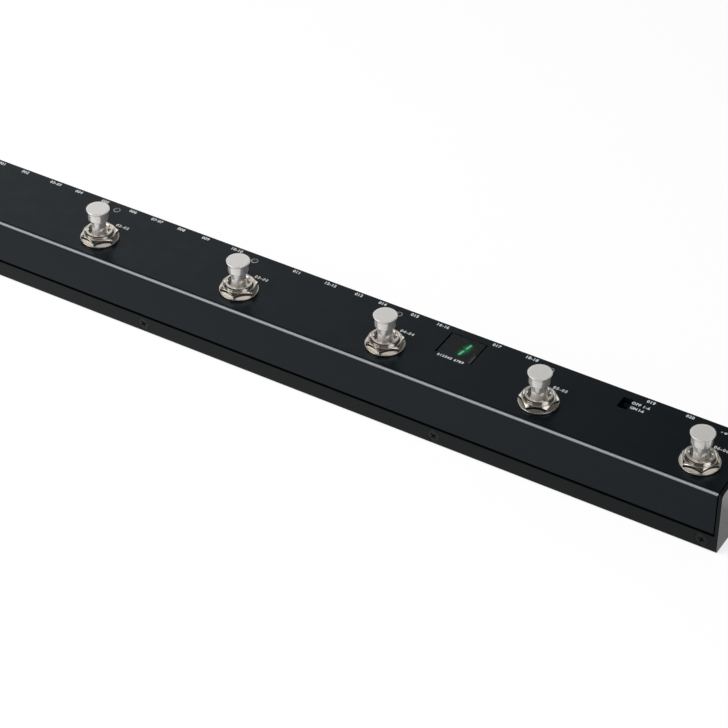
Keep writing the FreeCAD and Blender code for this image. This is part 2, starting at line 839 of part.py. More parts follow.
def make_control_chip():
    """The control chip on the main board."""
    x = spread(half_length - chip_from_right, chip_size)
    return block(x, spread(switch_y, chip_size), (main_board_top, main_board_top + chip_height))


def main():
    """Builds each node and writes it."""
    os.makedirs("parts", exist_ok=True)
    save("base_tray", [make_base_tray()])
    save("top_cover", [make_top_cover()])
    save("case_screws", make_case_screws())
    save("clinch_nuts", make_clinch_nuts())
    switches = switch_places()
    save("footswitch_bushings", [make_footswitch_bushing(x) for x in switches])
    save("footswitch_washers", [make_footswitch_washer(x) for x in switches])
    nuts = [make_footswitch_nut(x, nut_turns[index % len(nut_turns)]) for index, x in enumerate(switches)]
    save("footswitch_nuts", nuts)
    save("footswitch_caps", [make_footswitch_cap(x) for x in switches])
    save("push_contacts", [make_push_contact(x) for x in switches])
    save("indicator_lights", [make_indicator_light(x) for x in switches])
    for number, x in enumerate(reversed(switches), start=1):
        save(f"footswitch_button_{number}", [make_footswitch_button(x)])
        save(f"footswitch_plunger_{number}", [make_footswitch_plunger(x)])
        save(f"footswitch_spring_{number}", [make_footswitch_spring(x)])
    save("display_window", [make_display_window()])
    save("display_module", [make_display_module()])
    save("slide_switch_housing", [make_slide_housing()])
    save("slide_switch_knob", [make_slide_knob()])
    jacks = jack_places()
    for node, x in jacks.items():
        save(node, [make_jack(x)])
    save("jack_ferrules", [make_jack_ferrule(x) for x in jacks.values()])
    save("jack_nuts", [make_jack_nut(x) for x in jacks.values()])
    save("jack_washers", [make_jack_washer(x) for x in jacks.values()])
    save("jack_contacts", [make_jack_contact(x) for x in jacks.values()])
    save("power_inlet", [make_power_inlet()])
    save("power_inlet_pin", [make_power_pin()])
    save("main_board", [make_main_board()])
    save("main_board_pillars", [make_pillar(x, y) for x, y in pillar_places()])
    save("jack_board", [make_jack_board()])
    save("jack_board_spacers", [make_spacer(x, y) for x, y in spacer_places()])
    save("board_screws", make_board_screws())
    save("board_connector", make_board_connector())
    save("relays", make_relays())
    save("control_chip", [make_control_chip()])


main()
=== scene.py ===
"""Looks for the loop switcher pedal: finishes, detailed hardware, printed marks and the studio."""
import json
import logging
import math
from dataclasses import dataclass, field
from enum import Enum
from typing import Callable, Sequence, Union

import bpy
from mathutils import Matrix, Vector

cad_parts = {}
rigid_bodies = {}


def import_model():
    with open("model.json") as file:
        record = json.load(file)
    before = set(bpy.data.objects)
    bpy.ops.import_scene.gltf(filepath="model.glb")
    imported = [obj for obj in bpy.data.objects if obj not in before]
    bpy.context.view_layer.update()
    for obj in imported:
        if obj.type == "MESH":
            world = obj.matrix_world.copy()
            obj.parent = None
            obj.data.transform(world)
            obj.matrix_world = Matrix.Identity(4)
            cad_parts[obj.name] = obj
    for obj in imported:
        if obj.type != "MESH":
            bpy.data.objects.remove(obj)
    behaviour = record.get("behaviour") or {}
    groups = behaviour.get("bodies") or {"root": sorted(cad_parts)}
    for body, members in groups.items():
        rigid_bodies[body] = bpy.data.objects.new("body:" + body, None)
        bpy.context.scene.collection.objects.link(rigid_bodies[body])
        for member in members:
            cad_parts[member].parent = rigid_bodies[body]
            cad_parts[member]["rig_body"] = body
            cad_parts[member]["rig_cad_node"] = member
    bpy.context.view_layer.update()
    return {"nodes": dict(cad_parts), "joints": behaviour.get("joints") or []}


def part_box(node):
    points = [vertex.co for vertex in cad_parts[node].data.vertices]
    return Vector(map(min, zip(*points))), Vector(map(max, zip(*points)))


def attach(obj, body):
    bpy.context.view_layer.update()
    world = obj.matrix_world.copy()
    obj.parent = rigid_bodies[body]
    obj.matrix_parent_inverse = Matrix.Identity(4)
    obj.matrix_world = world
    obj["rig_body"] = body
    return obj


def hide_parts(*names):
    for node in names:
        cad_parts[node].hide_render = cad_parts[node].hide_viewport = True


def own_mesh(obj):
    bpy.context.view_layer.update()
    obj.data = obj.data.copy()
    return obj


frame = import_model()

# Sizes are in millimetres unless a line says otherwise, and MM turns them into Blender's metres.
MM = 0.001
MERGE = 0.002 * MM
CUT_REACH = 0.0001 * MM
# How far a cutting tool reaches past the solid, and by how little it passes a face so that no two faces coincide.
SPARE = 1.0
SLIVER = 0.01
# How many sides a round form has, a large or shiny one, and a small one.
SIDES = 64
FINE_SIDES = 96
SMALL_SIDES = 48
# Edges sharper than this stay sharp in smooth shading, and large faces count this much in it.
SMOOTH_ANGLE = math.radians(32)
FLAT_WEIGHT = 90
# Two faces are one sheet under this angle, and a face points a way when its normal's share of it is over FACES.
FLAT_ANGLE = math.radians(1.0)
FACES = 0.9
# A thread is wound with these turns to spare. Its steps are shares of the pitch: root, flank, crest and flank.
SPARE_TURNS = 3
THREAD_STEPS = (0.14, 0.32, 0.18, 0.36)
QUARTER_TURN = math.radians(90)
# A noise seldom leaves the middle of its range, so a pattern takes only that part of it: grain, lines and rings.
GRAIN_MIDDLE = (0.36, 0.64)
LINES_MIDDLE = (0.33, 0.67)
RINGS_MIDDLE = (0.3, 0.7)
# The scale of the grain's clouds, and of the broad lines, as a share of the fine ones'.
CLOUD_SCALE = 0.04
BROAD_SCALE = 0.23
# How many loops it switches, each with a footswitch and a pair of jacks.
LOOPS = 6
CASE = "case"
AXIS_ATTRIBUTE = "from_axis"
log = logging.getLogger("looks")

Point = tuple[float, float, float]
Colour = tuple[float, float, float]
Ring = tuple[float, float]
Range = tuple[float, float]
Corners = tuple[Vector, Vector]
Input = Union[bpy.types.NodeSocket, float, Sequence[float]]


class Facing(Enum):
    """The way a piece that is modelled upright finally points."""

    UP = 0.0
    FRONT = QUARTER_TURN
    REAR = -QUARTER_TURN


class Cut(Enum):
    """How one solid is combined with another."""

    TAKE_AWAY = "DIFFERENCE"
    KEEP_SHARED = "INTERSECT"
    ADD = "UNION"


@dataclass(frozen=True)
class Spot:
    """Where a copy of a master piece goes: its place in metres, the way it faces, and its turn in radians."""

    place: Vector
    facing: Facing = Facing.UP
    turn: float = 0.0


# ---- modelling helpers ----


def deselect() -> None:
    """Leaves edit mode and selects nothing."""
    active = bpy.context.view_layer.objects.active
    if active is not None and active.mode != "OBJECT":
        bpy.ops.object.mode_set(mode="OBJECT")
    bpy.ops.object.select_all(action="DESELECT")


def take_up(obj: bpy.types.Object) -> None:
    """Makes one object the only selected and active one.

    Args:
        obj: The object to work on.
    """
    deselect()
    obj.select_set(True)
    bpy.context.view_layer.objects.active = obj


def edit_all(kind: str = "EDGE") -> None:
    """Goes into edit mode with everything selected.

    Args:
        kind: What is selected by: vertices, edges or faces.
    """
    bpy.ops.object.mode_set(mode="EDIT")
    bpy.ops.mesh.select_mode(type=kind)
    bpy.ops.mesh.select_all(action="SELECT")


def settle(name: str) -> bpy.types.Object:
    """Ends the modelling of the active object: place applied, normals outward.

    Args:
        name: The object's new name.

    Returns:
        The object, in object mode.
    """
    obj = bpy.context.view_layer.objects.active
    if obj.mode != "EDIT":
        bpy.ops.object.mode_set(mode="EDIT")
    bpy.ops.mesh.select_all(action="SELECT")
    bpy.ops.mesh.normals_make_consistent(inside=False)
    bpy.ops.object.mode_set(mode="OBJECT")
    take_up(obj)
    bpy.ops.object.transform_apply(location=True, rotation=True, scale=True)
    obj.name = name
    return obj


def turned(name: str, rings: Sequence[Ring], sides: int = SIDES, through: bool = False) -> bpy.types.Object:
    """Draws a round form up and down through its rings, as on a lathe.

    Args:
        name: The new object's name.
        rings: The (radius, height) of each ring, in the order of the outline.
        sides: How many sides the form has round its axis.
        through: Whether the outline closes on itself and leaves a bore.

    Returns:
        The new object, about the Z axis.
    """
    deselect()
    radius, height = rings[0]
    fill = "NOTHING" if through else "NGON"
    bpy.ops.mesh.primitive_circle_add(vertices=sides, radius=radius * MM, fill_type=fill, location=(0, 0, 0))
    edit_all()
    bpy.ops.transform.translate(value=(0, 0, height * MM))
    for (last_radius, last_height), (radius, height) in zip(rings, rings[1:]):
        rise = (0, 0, (height - last_height) * MM)
        bpy.ops.mesh.extrude_region_move(TRANSFORM_OT_translate={"value": rise})
        grow = radius / last_radius
        bpy.ops.transform.resize(value=(grow, grow, 1), center_override=(0, 0, height * MM))
    if through:
        bpy.ops.mesh.select_all(action="DESELECT")
        bpy.ops.mesh.select_non_manifold(
            extend=False, use_wire=False, use_boundary=True, use_multi_face=False,
            use_non_contiguous=False, use_verts=False,
        )
        bpy.ops.mesh.bridge_edge_loops()
    return settle(name)


def wind(obj: bpy.types.Object, rise: float, steps: int, turns: int = 1) -> None:
    """Winds an outline into a screw about the Z axis.

    Args:
        obj: The outline.
        rise: The rise in one turn.
        steps: Steps in one turn.
        turns: How many turns it makes.
    """
    screw = obj.modifiers.new("wind", "SCREW")
    screw.iterations = turns
    screw.screw_offset = rise * MM
    screw.steps = screw.render_steps = steps
    screw.use_smooth_shade = False
    bpy.ops.object.modifier_apply(modifier="wind")
    edit_all("VERT")


def threaded(name: str, crest: float, pitch: float, depth: float, span: Range,
             sides: int = SIDES) -> bpy.types.Object:
    """Winds a screw thread round a rod and cuts its ends square.

    Args:
        name: The new object's name.
        crest: The thread's outer radius.
        pitch: The rise in one turn.
        depth: How deep the thread is cut.
        span: The rod's lowest and highest point.
        sides: Steps in one turn.

    Returns:
        The new object, a closed rod about the Z axis.
    """
    deselect()
    low, high = span
    bpy.ops.mesh.primitive_plane_add(size=MM, location=(0, 0, 0))
    edit_all("VERT")
    bpy.ops.mesh.merge(type="CENTER")
    bpy.ops.mesh.select_all(action="SELECT")
    start = low - SPARE_TURNS / 2 * pitch
    bpy.ops.transform.translate(value=((crest - depth) * MM, 0, start * MM))
    turns = math.ceil((high - low) / pitch) + SPARE_TURNS
    for out, up in list(zip((0.0, depth, 0.0, -depth), THREAD_STEPS)) * turns:
        bpy.ops.mesh.extrude_vertices_move(TRANSFORM_OT_translate={"value": (out * MM, 0, up * pitch * MM)})
    bpy.ops.object.mode_set(mode="OBJECT")
    wind(bpy.context.view_layer.objects.active, pitch, sides)
    bpy.ops.mesh.remove_doubles(threshold=MERGE)
    for height, under in ((low, True), (high, False)):
        bpy.ops.mesh.select_all(action="SELECT")
        bpy.ops.mesh.bisect(
            plane_co=(0, 0, height * MM), plane_no=(0, 0, 1), use_fill=True, clear_inner=under,
            clear_outer=not under, threshold=CUT_REACH,
        )
    return settle(name)


def box(name: str, low: Sequence[float], high: Sequence[float], end_scale: float = 1.0) -> bpy.types.Object:
    """Makes a block between two corners, which may taper towards its foot.

    Args:
        name: The new object's name.
        low: Its lowest corner.
        high: Its highest corner.
        end_scale: The foot's size as a share of the top's.

    Returns:
        The new object.
    """
    deselect()
    bpy.ops.mesh.primitive_plane_add(size=MM, location=(0, 0, 0))
    edit_all()
    middle = [(a + b) / 2 * MM for a, b in zip(low, high)]
    top = (middle[0], middle[1], high[2] * MM)
    bpy.ops.transform.resize(value=(high[0] - low[0], high[1] - low[1], 1), center_override=(0, 0, 0))
    bpy.ops.transform.translate(value=top)
    bpy.ops.mesh.extrude_region_move(TRANSFORM_OT_translate={"value": (0, 0, (low[2] - high[2]) * MM)})
    if end_scale != 1.0:
        bpy.ops.transform.resize(value=(end_scale, end_scale, 1), center_override=(middle[0], middle[1], low[2] * MM))
    return settle(name)


def combine(obj: bpy.types.Object, tool: bpy.types.Object, how: Cut) -> bpy.types.Object:
    """Cuts, trims or joins one solid with another and removes the tool.

    Args:
        obj: The solid that stays.
        tool: The solid that works on it.
        how: What is done.

    Returns:
        The changed solid.
    """
    take_up(obj)
    step = obj.modifiers.new("combine", "BOOLEAN")
    step.operation = how.value
    step.object = tool
    step.solver = "EXACT"
    bpy.ops.object.modifier_apply(modifier="combine")
    bpy.data.objects.remove(tool)
    return obj


def smooth(obj: bpy.types.Object) -> bpy.types.Object:
    """Shades an object smoothly, with its large faces kept true.

    Args:
        obj: The object.

    Returns:
        The same object.
    """
    take_up(obj)
    bpy.ops.object.shade_smooth_by_angle(angle=SMOOTH_ANGLE)
    weighting = obj.modifiers.new("weighting", "WEIGHTED_NORMAL")
    weighting.keep_sharp = True
    weighting.weight = FLAT_WEIGHT
    bpy.ops.object.modifier_apply(modifier="weighting")
    return obj


def soften(obj: bpy.types.Object, width: float, angle: float = 35.0, segments: int = 2) -> bpy.types.Object:
    """Rounds an object's edges a little and smooths its shading.

    Args:
        obj: The object.
        width: The width of the rounding.
        angle: Edges sharper than this many degrees are rounded.
        segments: Faces across each rounding.

    Returns:
        The same object.
    """
    take_up(obj)
    rounding = obj.modifiers.new("rounding", "BEVEL")
    rounding.width = width * MM
    rounding.segments = segments
    rounding.limit_method = "ANGLE"
    rounding.angle_limit = math.radians(angle)
    rounding.harden_normals = False
    bpy.ops.object.modifier_apply(modifier="rounding")
    return smooth(obj)


def mark_axis(obj: bpy.types.Object) -> None:
    """Keeps each vertex's place from the piece's own axis, for patterns that go round it.

    Args:
        obj: The object, still about the Z axis at the origin.
    """
    layer = obj.data.attributes.new(AXIS_ATTRIBUTE, "FLOAT_VECTOR", "POINT")
    flat = [value for vertex in obj.data.vertices for value in vertex.co]
    layer.data.foreach_set("vector", flat)


def copy_to(master: bpy.types.Object, name: str, spot: Spot) -> bpy.types.Object:
    """Copies a master piece with its own mesh and sets the mesh in place.

    Args:
        master: The piece as modelled about the Z axis.
        name: The copy's name.
        spot: Where it goes.

    Returns:
        The copy.
    """
    made = master.copy()
    made.data = master.data.copy()
    made.name = made.data.name = name
    bpy.context.scene.collection.objects.link(made)
    spin = Matrix.Rotation(spot.turn, 4, "Z")
    made.data.transform(Matrix.Translation(spot.place) @ Matrix.Rotation(spot.facing.value, 4, "X") @ spin)
    return made


def middle_of(node: str) -> Vector:
    """The centre of a node's box in metres."""
    low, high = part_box(node)
    return (low + high) / 2


def solids_of(node: str, gap: float, in_rows: bool = False) -> list[Corners]:
    """Finds the boxes of a node's separate solids along X, in metres.

    Args:
        node: The node's name.
        gap: The least empty space between two solids.
        in_rows: Whether they stand in a front row and a rear row, parted at the middle of the node.

    Returns:
        The lowest and highest corner of each solid, from the left, with a front row first.
    """
    points = sorted((vertex.co.copy() for vertex in frame["nodes"][node].data.vertices), key=lambda point: point.x)
    parting = middle_of(node).y
    rows = [[point for point in points if (point.y > parting) == rear] for rear in (False, True)]
    groups: list[list[Vector]] = []
    for row in rows if in_rows else [points]:
        groups.append([row[0]])
        for point in row[1:]:
            if point.x - groups[-1][-1].x > gap * MM:
                groups.append([])
            groups[-1].append(point)
    return [
        (Vector(min(p[i] for p in group) for i in range(3)), Vector(max(p[i] for p in group) for i in range(3)))
        for group in groups
    ]


@dataclass(frozen=True)
class HexNut:
    """A hexagon nut with a chamfered top and foot.

    foot says how far the lower chamfer starts outside the flats and how high it reaches, inset how far
    the top face stays inside the flats, and bore gives the rings of the hole.
    """

    across_flats: float
    low: float
    high: float
    slope: float
    foot: Ring
    inset: float
    bore: tuple[Ring, ...]
    sides: int = SIDES
    bore_sides: int = SIDES
    rounding: float = 0.09

    def model(self) -> bpy.types.Object:
        """Models the nut, with a corner towards +X.

        Returns:
            The new object, about the Z axis.
        """
        flat = self.across_flats / 2
        corner = self.across_flats / math.sqrt(3)
        deselect()
        bpy.ops.mesh.primitive_circle_add(
            vertices=6, radius=flat / math.cos(math.pi / 6) * MM, fill_type="NGON", location=(0, 0, 0)
        )
        edit_all()
        bpy.ops.transform.rotate(value=QUARTER_TURN, orient_axis="Z", center_override=(0, 0, 0))
        bpy.ops.transform.translate(value=(0, 0, self.low * MM))
        rise = (0, 0, (self.high - self.low) * MM)
        bpy.ops.mesh.extrude_region_move(TRANSFORM_OT_translate={"value": rise})
        piece = settle("nut")
        drop = (corner - flat) * math.tan(self.slope)
        outset, height = self.foot
        around = corner + 2 * SLIVER
        trim = turned("trim", [
            (flat + outset, self.low), (around, self.low + height), (around, self.high - drop),
            (flat - self.inset, self.high),
        ], sides=self.sides)
        piece = combine(piece, trim, Cut.KEEP_SHARED)
        piece = combine(piece, turned("bore", self.bore, sides=self.bore_sides), Cut.TAKE_AWAY)
        return soften(piece, self.rounding, angle=28.0)


# ---- finishes ----


class Mix(Enum):
    """What a mixing node mixes: its data type, the place of its first input, and that of its result."""

    NUMBERS = ("FLOAT", 2, 0)
    COLOURS = ("RGBA", 6, 2)


@dataclass(frozen=True)
class Sheet:
    """A node tree with short calls for adding and joining nodes."""

    tree: bpy.types.NodeTree

    def add(self, kind: str, **settings: object) -> bpy.types.Node:
        """Adds a node and sets its properties.

        Args:
            kind: The node's type.
            **settings: Property names and values.

        Returns:
            The node.
        """
        node = self.tree.nodes.new(kind)
        for name, value in settings.items():
            setattr(node, name, value)
        return node

    def join(self, source: Input, target: bpy.types.NodeSocket) -> None:
        """Links an output to an input, or sets the input to a number, vector or colour.

        Args:
            source: The output or the value.
            target: The input.
        """
        if isinstance(source, bpy.types.NodeSocket):
            self.tree.links.new(source, target)
        elif isinstance(source, tuple) and target.type == "RGBA":
            target.default_value = (*source, 1.0)
        else:
            target.default_value = source

    def feed(self, node: bpy.types.Node, **values: Input) -> bpy.types.Node:
        """Sets inputs by name.

        Args:
            node: The node whose inputs are set.
            **values: Input names, with _ for a space, and what they get.

        Returns:
            The node.
        """
        for name, value in values.items():
            self.join(value, node.inputs[name.replace("_", " ")])
        return node

    def place(self, kind: str = "Object") -> bpy.types.NodeSocket:
        """A texture coordinate, such as the place on the object."""
        return self.add("ShaderNodeTexCoord").outputs[kind]

    def parts(self, vector: bpy.types.NodeSocket) -> bpy.types.NodeOutputs:
        """A vector's X, Y and Z."""
        return self.feed(self.add("ShaderNodeSeparateXYZ"), Vector=vector).outputs

    def work(self, kind: str, operation: str, *values: Input) -> bpy.types.Node:
        """Does one step of arithmetic.

        Args:
            kind: The node's type, for numbers or for vectors.
            operation: What is done.
            *values: What it is done with.

        Returns:
            The node.
        """
        node = self.add(kind, operation=operation)
        for value, socket in zip(values, node.inputs):
            self.join(value, socket)
        return node

    def sum_up(self, operation: str, *values: Input) -> bpy.types.NodeSocket:
        """Does one step of arithmetic on numbers."""
        return self.work("ShaderNodeMath", operation, *values).outputs[0]

    def vectors(self, operation: str, *values: Input) -> bpy.types.NodeOutputs:
        """Does one step of arithmetic on vectors."""
        return self.work("ShaderNodeVectorMath", operation, *values).outputs

    def spread(self, value: bpy.types.NodeSocket, low: Input, high: Input,
               start: Input = 0.0, end: Input = 1.0) -> bpy.types.NodeSocket:
        """Maps a value from one range to another, without going past its ends.

        Args:
            value: The value.
            low: The result at the start.
            high: The result at the end.
            start: The value that gives the low result.
            end: The value that gives the high result.

        Returns:
            The mapped value.
        """
        node = self.add("ShaderNodeMapRange")
        return self.feed(node, Value=value, From_Min=start, From_Max=end, To_Min=low, To_Max=high).outputs["Result"]

    def blend(self, share: Input, first: Input, second: Input, what: Mix = Mix.COLOURS) -> bpy.types.NodeSocket:
        """Mixes two colours or numbers.

        Args:
            share: How much of the second shows.
            first: The first.
            second: The second.
            what: Whether they are colours or numbers.

        Returns:
            The mixture.
        """
        data_type, index, result = what.value
        node = self.add("ShaderNodeMix", data_type=data_type)
        for value, place in ((share, 0), (first, index), (second, index + 1)):
            self.join(value, node.inputs[place])
        return node.outputs[result]

    def noise(self, vector: Input, scale: Input, detail: float, roughness: float) -> bpy.types.NodeSocket:
        """Adds a noise pattern.

        Args:
            vector: Where it is read.
            scale: How fine it is.
            detail: How many finer layers it has.
            roughness: How strong they are.

        Returns:
            Its value, mostly near 0.5.
        """
        node = self.add("ShaderNodeTexNoise")
        return self.feed(node, Vector=vector, Scale=scale, Detail=detail, Roughness=roughness).outputs["Fac"]


def draw_grain(sheet: Sheet, given: bpy.types.Node, result: bpy.types.Node) -> None:
    """Draws a fine even grain with slower clouds in it.

    Args:
        sheet: The group's nodes.
        given: Its inputs.
        result: Its outputs.
    """
    place, scale = given.outputs["Vector"], given.outputs["Scale"]
    fine = sheet.noise(place, scale, detail=4.0, roughness=0.6)
    slow = sheet.noise(place, sheet.sum_up("MULTIPLY", scale, CLOUD_SCALE), detail=3.0, roughness=0.55)
    both = sheet.sum_up("MULTIPLY", sheet.sum_up("ADD", fine, slow), 0.5)
    level = sheet.spread(both, given.outputs["Low"], given.outputs["High"], *GRAIN_MIDDLE)
    sheet.feed(result, Level=level, Cloud=slow, Height=fine)


def draw_lines(sheet: Sheet, given: bpy.types.Node, result: bpy.types.Node) -> None:
    """Draws long thin lines, as a brushing belt leaves them.

    Args:
        sheet: The group's nodes.
        given: Its inputs.
        result: Its outputs.
    """
    pull = sheet.vectors("MULTIPLY", given.outputs["Vector"], given.outputs["Stretch"])[0]
    fine = sheet.noise(pull, 1.0, detail=3.0, roughness=0.65)
    broad = sheet.noise(pull, BROAD_SCALE, detail=2.0, roughness=0.5)
    both = sheet.sum_up("MULTIPLY", sheet.sum_up("ADD", fine, broad), 0.5)
    sheet.feed(result, Lines=sheet.spread(both, 0.0, 1.0, *LINES_MIDDLE))


def draw_lathe(sheet: Sheet, given: bpy.types.Node, result: bpy.types.Node) -> None:
    """Draws the fine rings that a lathe leaves on a flat end.

    Args:
        sheet: The group's nodes.
        given: Its inputs.
        result: Its outputs.
    """
    parts = sheet.parts(given.outputs["Vector"])
    flat = sheet.feed(sheet.add("ShaderNodeCombineXYZ"), X=parts["X"], Y=parts["Y"]).outputs[0]
    radius = sheet.vectors("LENGTH", flat)["Value"]
    far = sheet.sum_up("MULTIPLY", radius, given.outputs["Scale"])
    rings = sheet.add("ShaderNodeTexNoise", noise_dimensions="1D")
    sheet.feed(rings, W=far, Scale=1.0, Detail=3.0, Roughness=0.7)
    sheet.feed(result, Rings=sheet.spread(rings.outputs["Fac"], 0.0, 1.0, *RINGS_MIDDLE))


@dataclass(frozen=True)
class Effect:
    """A shader node group that several finishes share.

    vectors are the names of its vector inputs, numbers those of its number inputs with what they are
    before a finish sets them, and results the names of its outputs.
    """

    name: str
    vectors: tuple[str, ...]
    numbers: tuple[tuple[str, float], ...]
    results: tuple[str, ...]
    draw: Callable[[Sheet, bpy.types.Node, bpy.types.Node], None]

    def group(self) -> bpy.types.NodeTree:
        """Makes the group once and gives it again when it is asked for later.

        Returns:
            The group.
        """
        if self.name in bpy.data.node_groups:
            return bpy.data.node_groups[self.name]
        tree = bpy.data.node_groups.new(self.name, "ShaderNodeTree")
        for title in self.vectors:
            tree.interface.new_socket(name=title, in_out="INPUT", socket_type="NodeSocketVector")
        for title, value in self.numbers:
            socket = tree.interface.new_socket(name=title, in_out="INPUT", socket_type="NodeSocketFloat")
            socket.default_value = value
        for title in self.results:
            tree.interface.new_socket(name=title, in_out="OUTPUT", socket_type="NodeSocketFloat")
        sheet = Sheet(tree)
        self.draw(sheet, sheet.add("NodeGroupInput"), sheet.add("NodeGroupOutput"))
        return tree

    def put_in(self, sheet: Sheet, **values: Input) -> bpy.types.NodeOutputs:
        """Places the group in a material.

        Args:
            sheet: The material's nodes.
            **values: Its inputs' values there.

        Returns:
            Its outputs.
        """
        return sheet.feed(sheet.add("ShaderNodeGroup", node_tree=self.group()), **values).outputs


GRAIN = Effect("fine_grain", ("Vector",), (("Scale", 900.0), ("Low", 0.3), ("High", 0.5)),
               ("Level", "Cloud", "Height"), draw_grain)
LINES = Effect("brush_lines", ("Vector", "Stretch"), (), ("Lines",), draw_lines)
LATHE = Effect("lathe_rings", ("Vector",), (("Scale", 9000.0),), ("Rings",), draw_lathe)


@dataclass(frozen=True)
class Finish:
    """A plain grained surface: paint, plastic, plating or board.

    roughness gives its smoothest and roughest, grain the grain's fineness per metre, and relief its
    depth. level and gloss_tint are the strength and colour of the mirrored light.
    """

    name: str
    slot: str
    colour: Colour
    shade: Colour
    roughness: Range = (0.35, 0.5)
    metallic: float = 0.0
    grain: float = 2500.0
    relief: float = 0.01
    level: float = 0.5
    gloss_tint: Colour = (1.0, 1.0, 1.0)

    def material(self) -> bpy.types.Material:
        """Builds the material once.

        Returns:
            The material.
        """
        if self.name in bpy.data.materials:
            return bpy.data.materials[self.name]
        made = bpy.data.materials.new(self.name)
        made.use_nodes = True
        made.diffuse_color = (*self.colour, 1.0)
        sheet = Sheet(made.node_tree)
        shader = made.node_tree.nodes["Principled BSDF"]
        sheet.feed(shader, Metallic=self.metallic, Specular_IOR_Level=self.level, Specular_Tint=self.gloss_tint)
        self.dress(sheet, shader)
        return made

    def dress(self, sheet: Sheet, shader: bpy.types.Node) -> None:
        """Adds the grain to colour, roughness and relief.

        Args:
            sheet: The material's nodes.
            shader: Its Principled BSDF.
        """
        grain = self.tint(sheet, shader)
        self.emboss(sheet, shader, grain["Height"], self.relief)

    def tint(self, sheet: Sheet, shader: bpy.types.Node) -> bpy.types.NodeOutputs:
        """Lets the grain vary colour and roughness.

        Args:
            sheet: The material's nodes.
            shader: Its Principled BSDF.

        Returns:
            The grain's outputs.
        """
        grain = self.grained(sheet)
        colour = sheet.blend(grain["Cloud"], self.shade, self.colour)
        sheet.feed(shader, Base_Color=colour, Roughness=grain["Level"])
        return grain

    def grained(self, sheet: Sheet) -> bpy.types.NodeOutputs:
        """Places the shared grain with this finish's values."""
        low, high = self.roughness
        return GRAIN.put_in(sheet, Vector=sheet.place(), Scale=self.grain, Low=low, High=high)

    @staticmethod
    def emboss(sheet: Sheet, shader: bpy.types.Node, height: bpy.types.NodeSocket, relief: float) -> None:
        """Turns a height into the shader's normal.

        Args:
            sheet: The material's nodes.
            shader: Its Principled BSDF.
            height: The height, from 0 to 1.
            relief: Its full depth.
        """
        bump = sheet.feed(sheet.add("ShaderNodeBump"), Height=height, Strength=1.0, Distance=relief * MM)
        sheet.feed(shader, Normal=bump.outputs["Normal"])


@dataclass(frozen=True)
class BrushedFinish(Finish):
    """A surface with brushing lines along X, stronger on upright faces, edges rubbed glossy, and a painted highlight:
    the middle of each rounded edge is lightened towards a pale colour, standing in for the bevel's highlight, partly
    as bare edge metal.

    The facings say between which values a face's normal starts and finishes counting as turned up or
    to an end, and the slopes do so for a rounded edge, where Y times Z of the normal is largest.
    """

    stretch: Point = (14.0, 2600.0, 2600.0)
    line_relief: float = 0.012
    top_roughness: float = 0.3
    top_scatter: Range = (-0.03, 0.05)
    top_facing: Range = (0.75, 0.98)
    top_streaks: float = 0.25
    end_gloss: float = 0.0
    end_facing: Range = (0.8, 0.95)
    edge_gloss: float = 0.0
    gloss_slope: Range = (0.36, 0.5)
    # Painted highlight: how far the middle of a rounded edge is lightened towards the highlight colour, standing in
    # for the bevel's highlight, partly as bare edge metal.
    edge_wear: float = 0.0
    wear_slope: Range = (0.38, 0.5)
    edge_roughness: float = 0.2
    bare: Colour = (0.64, 0.67, 0.68)

    def dress(self, sheet: Sheet, shader: bpy.types.Node) -> None:
        """Adds the lines to colour, roughness and relief, gloss to the edges, and a painted highlight along the
        rounded edges.

        Args:
            sheet: The material's nodes.
            shader: Its Principled BSDF.
        """
        lines = LINES.put_in(sheet, Vector=sheet.place(), Stretch=self.stretch)["Lines"]
        grain = self.grained(sheet)
        normal = sheet.parts(sheet.place("Normal"))
        endward, sideward, upward = (sheet.sum_up("ABSOLUTE", normal[axis]) for axis in ("X", "Y", "Z"))
        slope = sheet.sum_up("MULTIPLY", upward, sideward)
        worn = sheet.sum_up("MAXIMUM", sheet.spread(endward, 0.0, self.end_gloss, *self.end_facing),
                            sheet.spread(slope, 0.0, self.edge_gloss, *self.gloss_slope))
        # Painted highlight: rounded edges near 45 degrees get a lighter colour, as the bevel's bright line, partly
        # bare edge metal.
        painted_highlight = sheet.spread(slope, 0.0, self.edge_wear, *self.wear_slope)
        top = sheet.spread(normal["Z"], 0.0, 1.0, *self.top_facing)
        streaks = sheet.sum_up("MULTIPLY", lines, sheet.spread(top, 1.0, self.top_streaks))
        side_roughness = sheet.spread(lines, *self.roughness)
        smoothest, roughest = (self.top_roughness + part for part in self.top_scatter)
        top_roughness = sheet.spread(grain["Level"], smoothest, roughest, *self.roughness)
        roughness = sheet.blend(top, side_roughness, top_roughness, Mix.NUMBERS)
        colour = sheet.blend(painted_highlight, sheet.blend(streaks, self.shade, self.colour), self.bare)
        sheet.feed(shader, Base_Color=colour, Roughness=roughness, Coat_Weight=worn,
                   Coat_Roughness=self.edge_roughness)
        height = sheet.sum_up("ADD", streaks, sheet.sum_up("MULTIPLY", grain["Height"], self.relief))
        self.emboss(sheet, shader, height, self.line_relief)


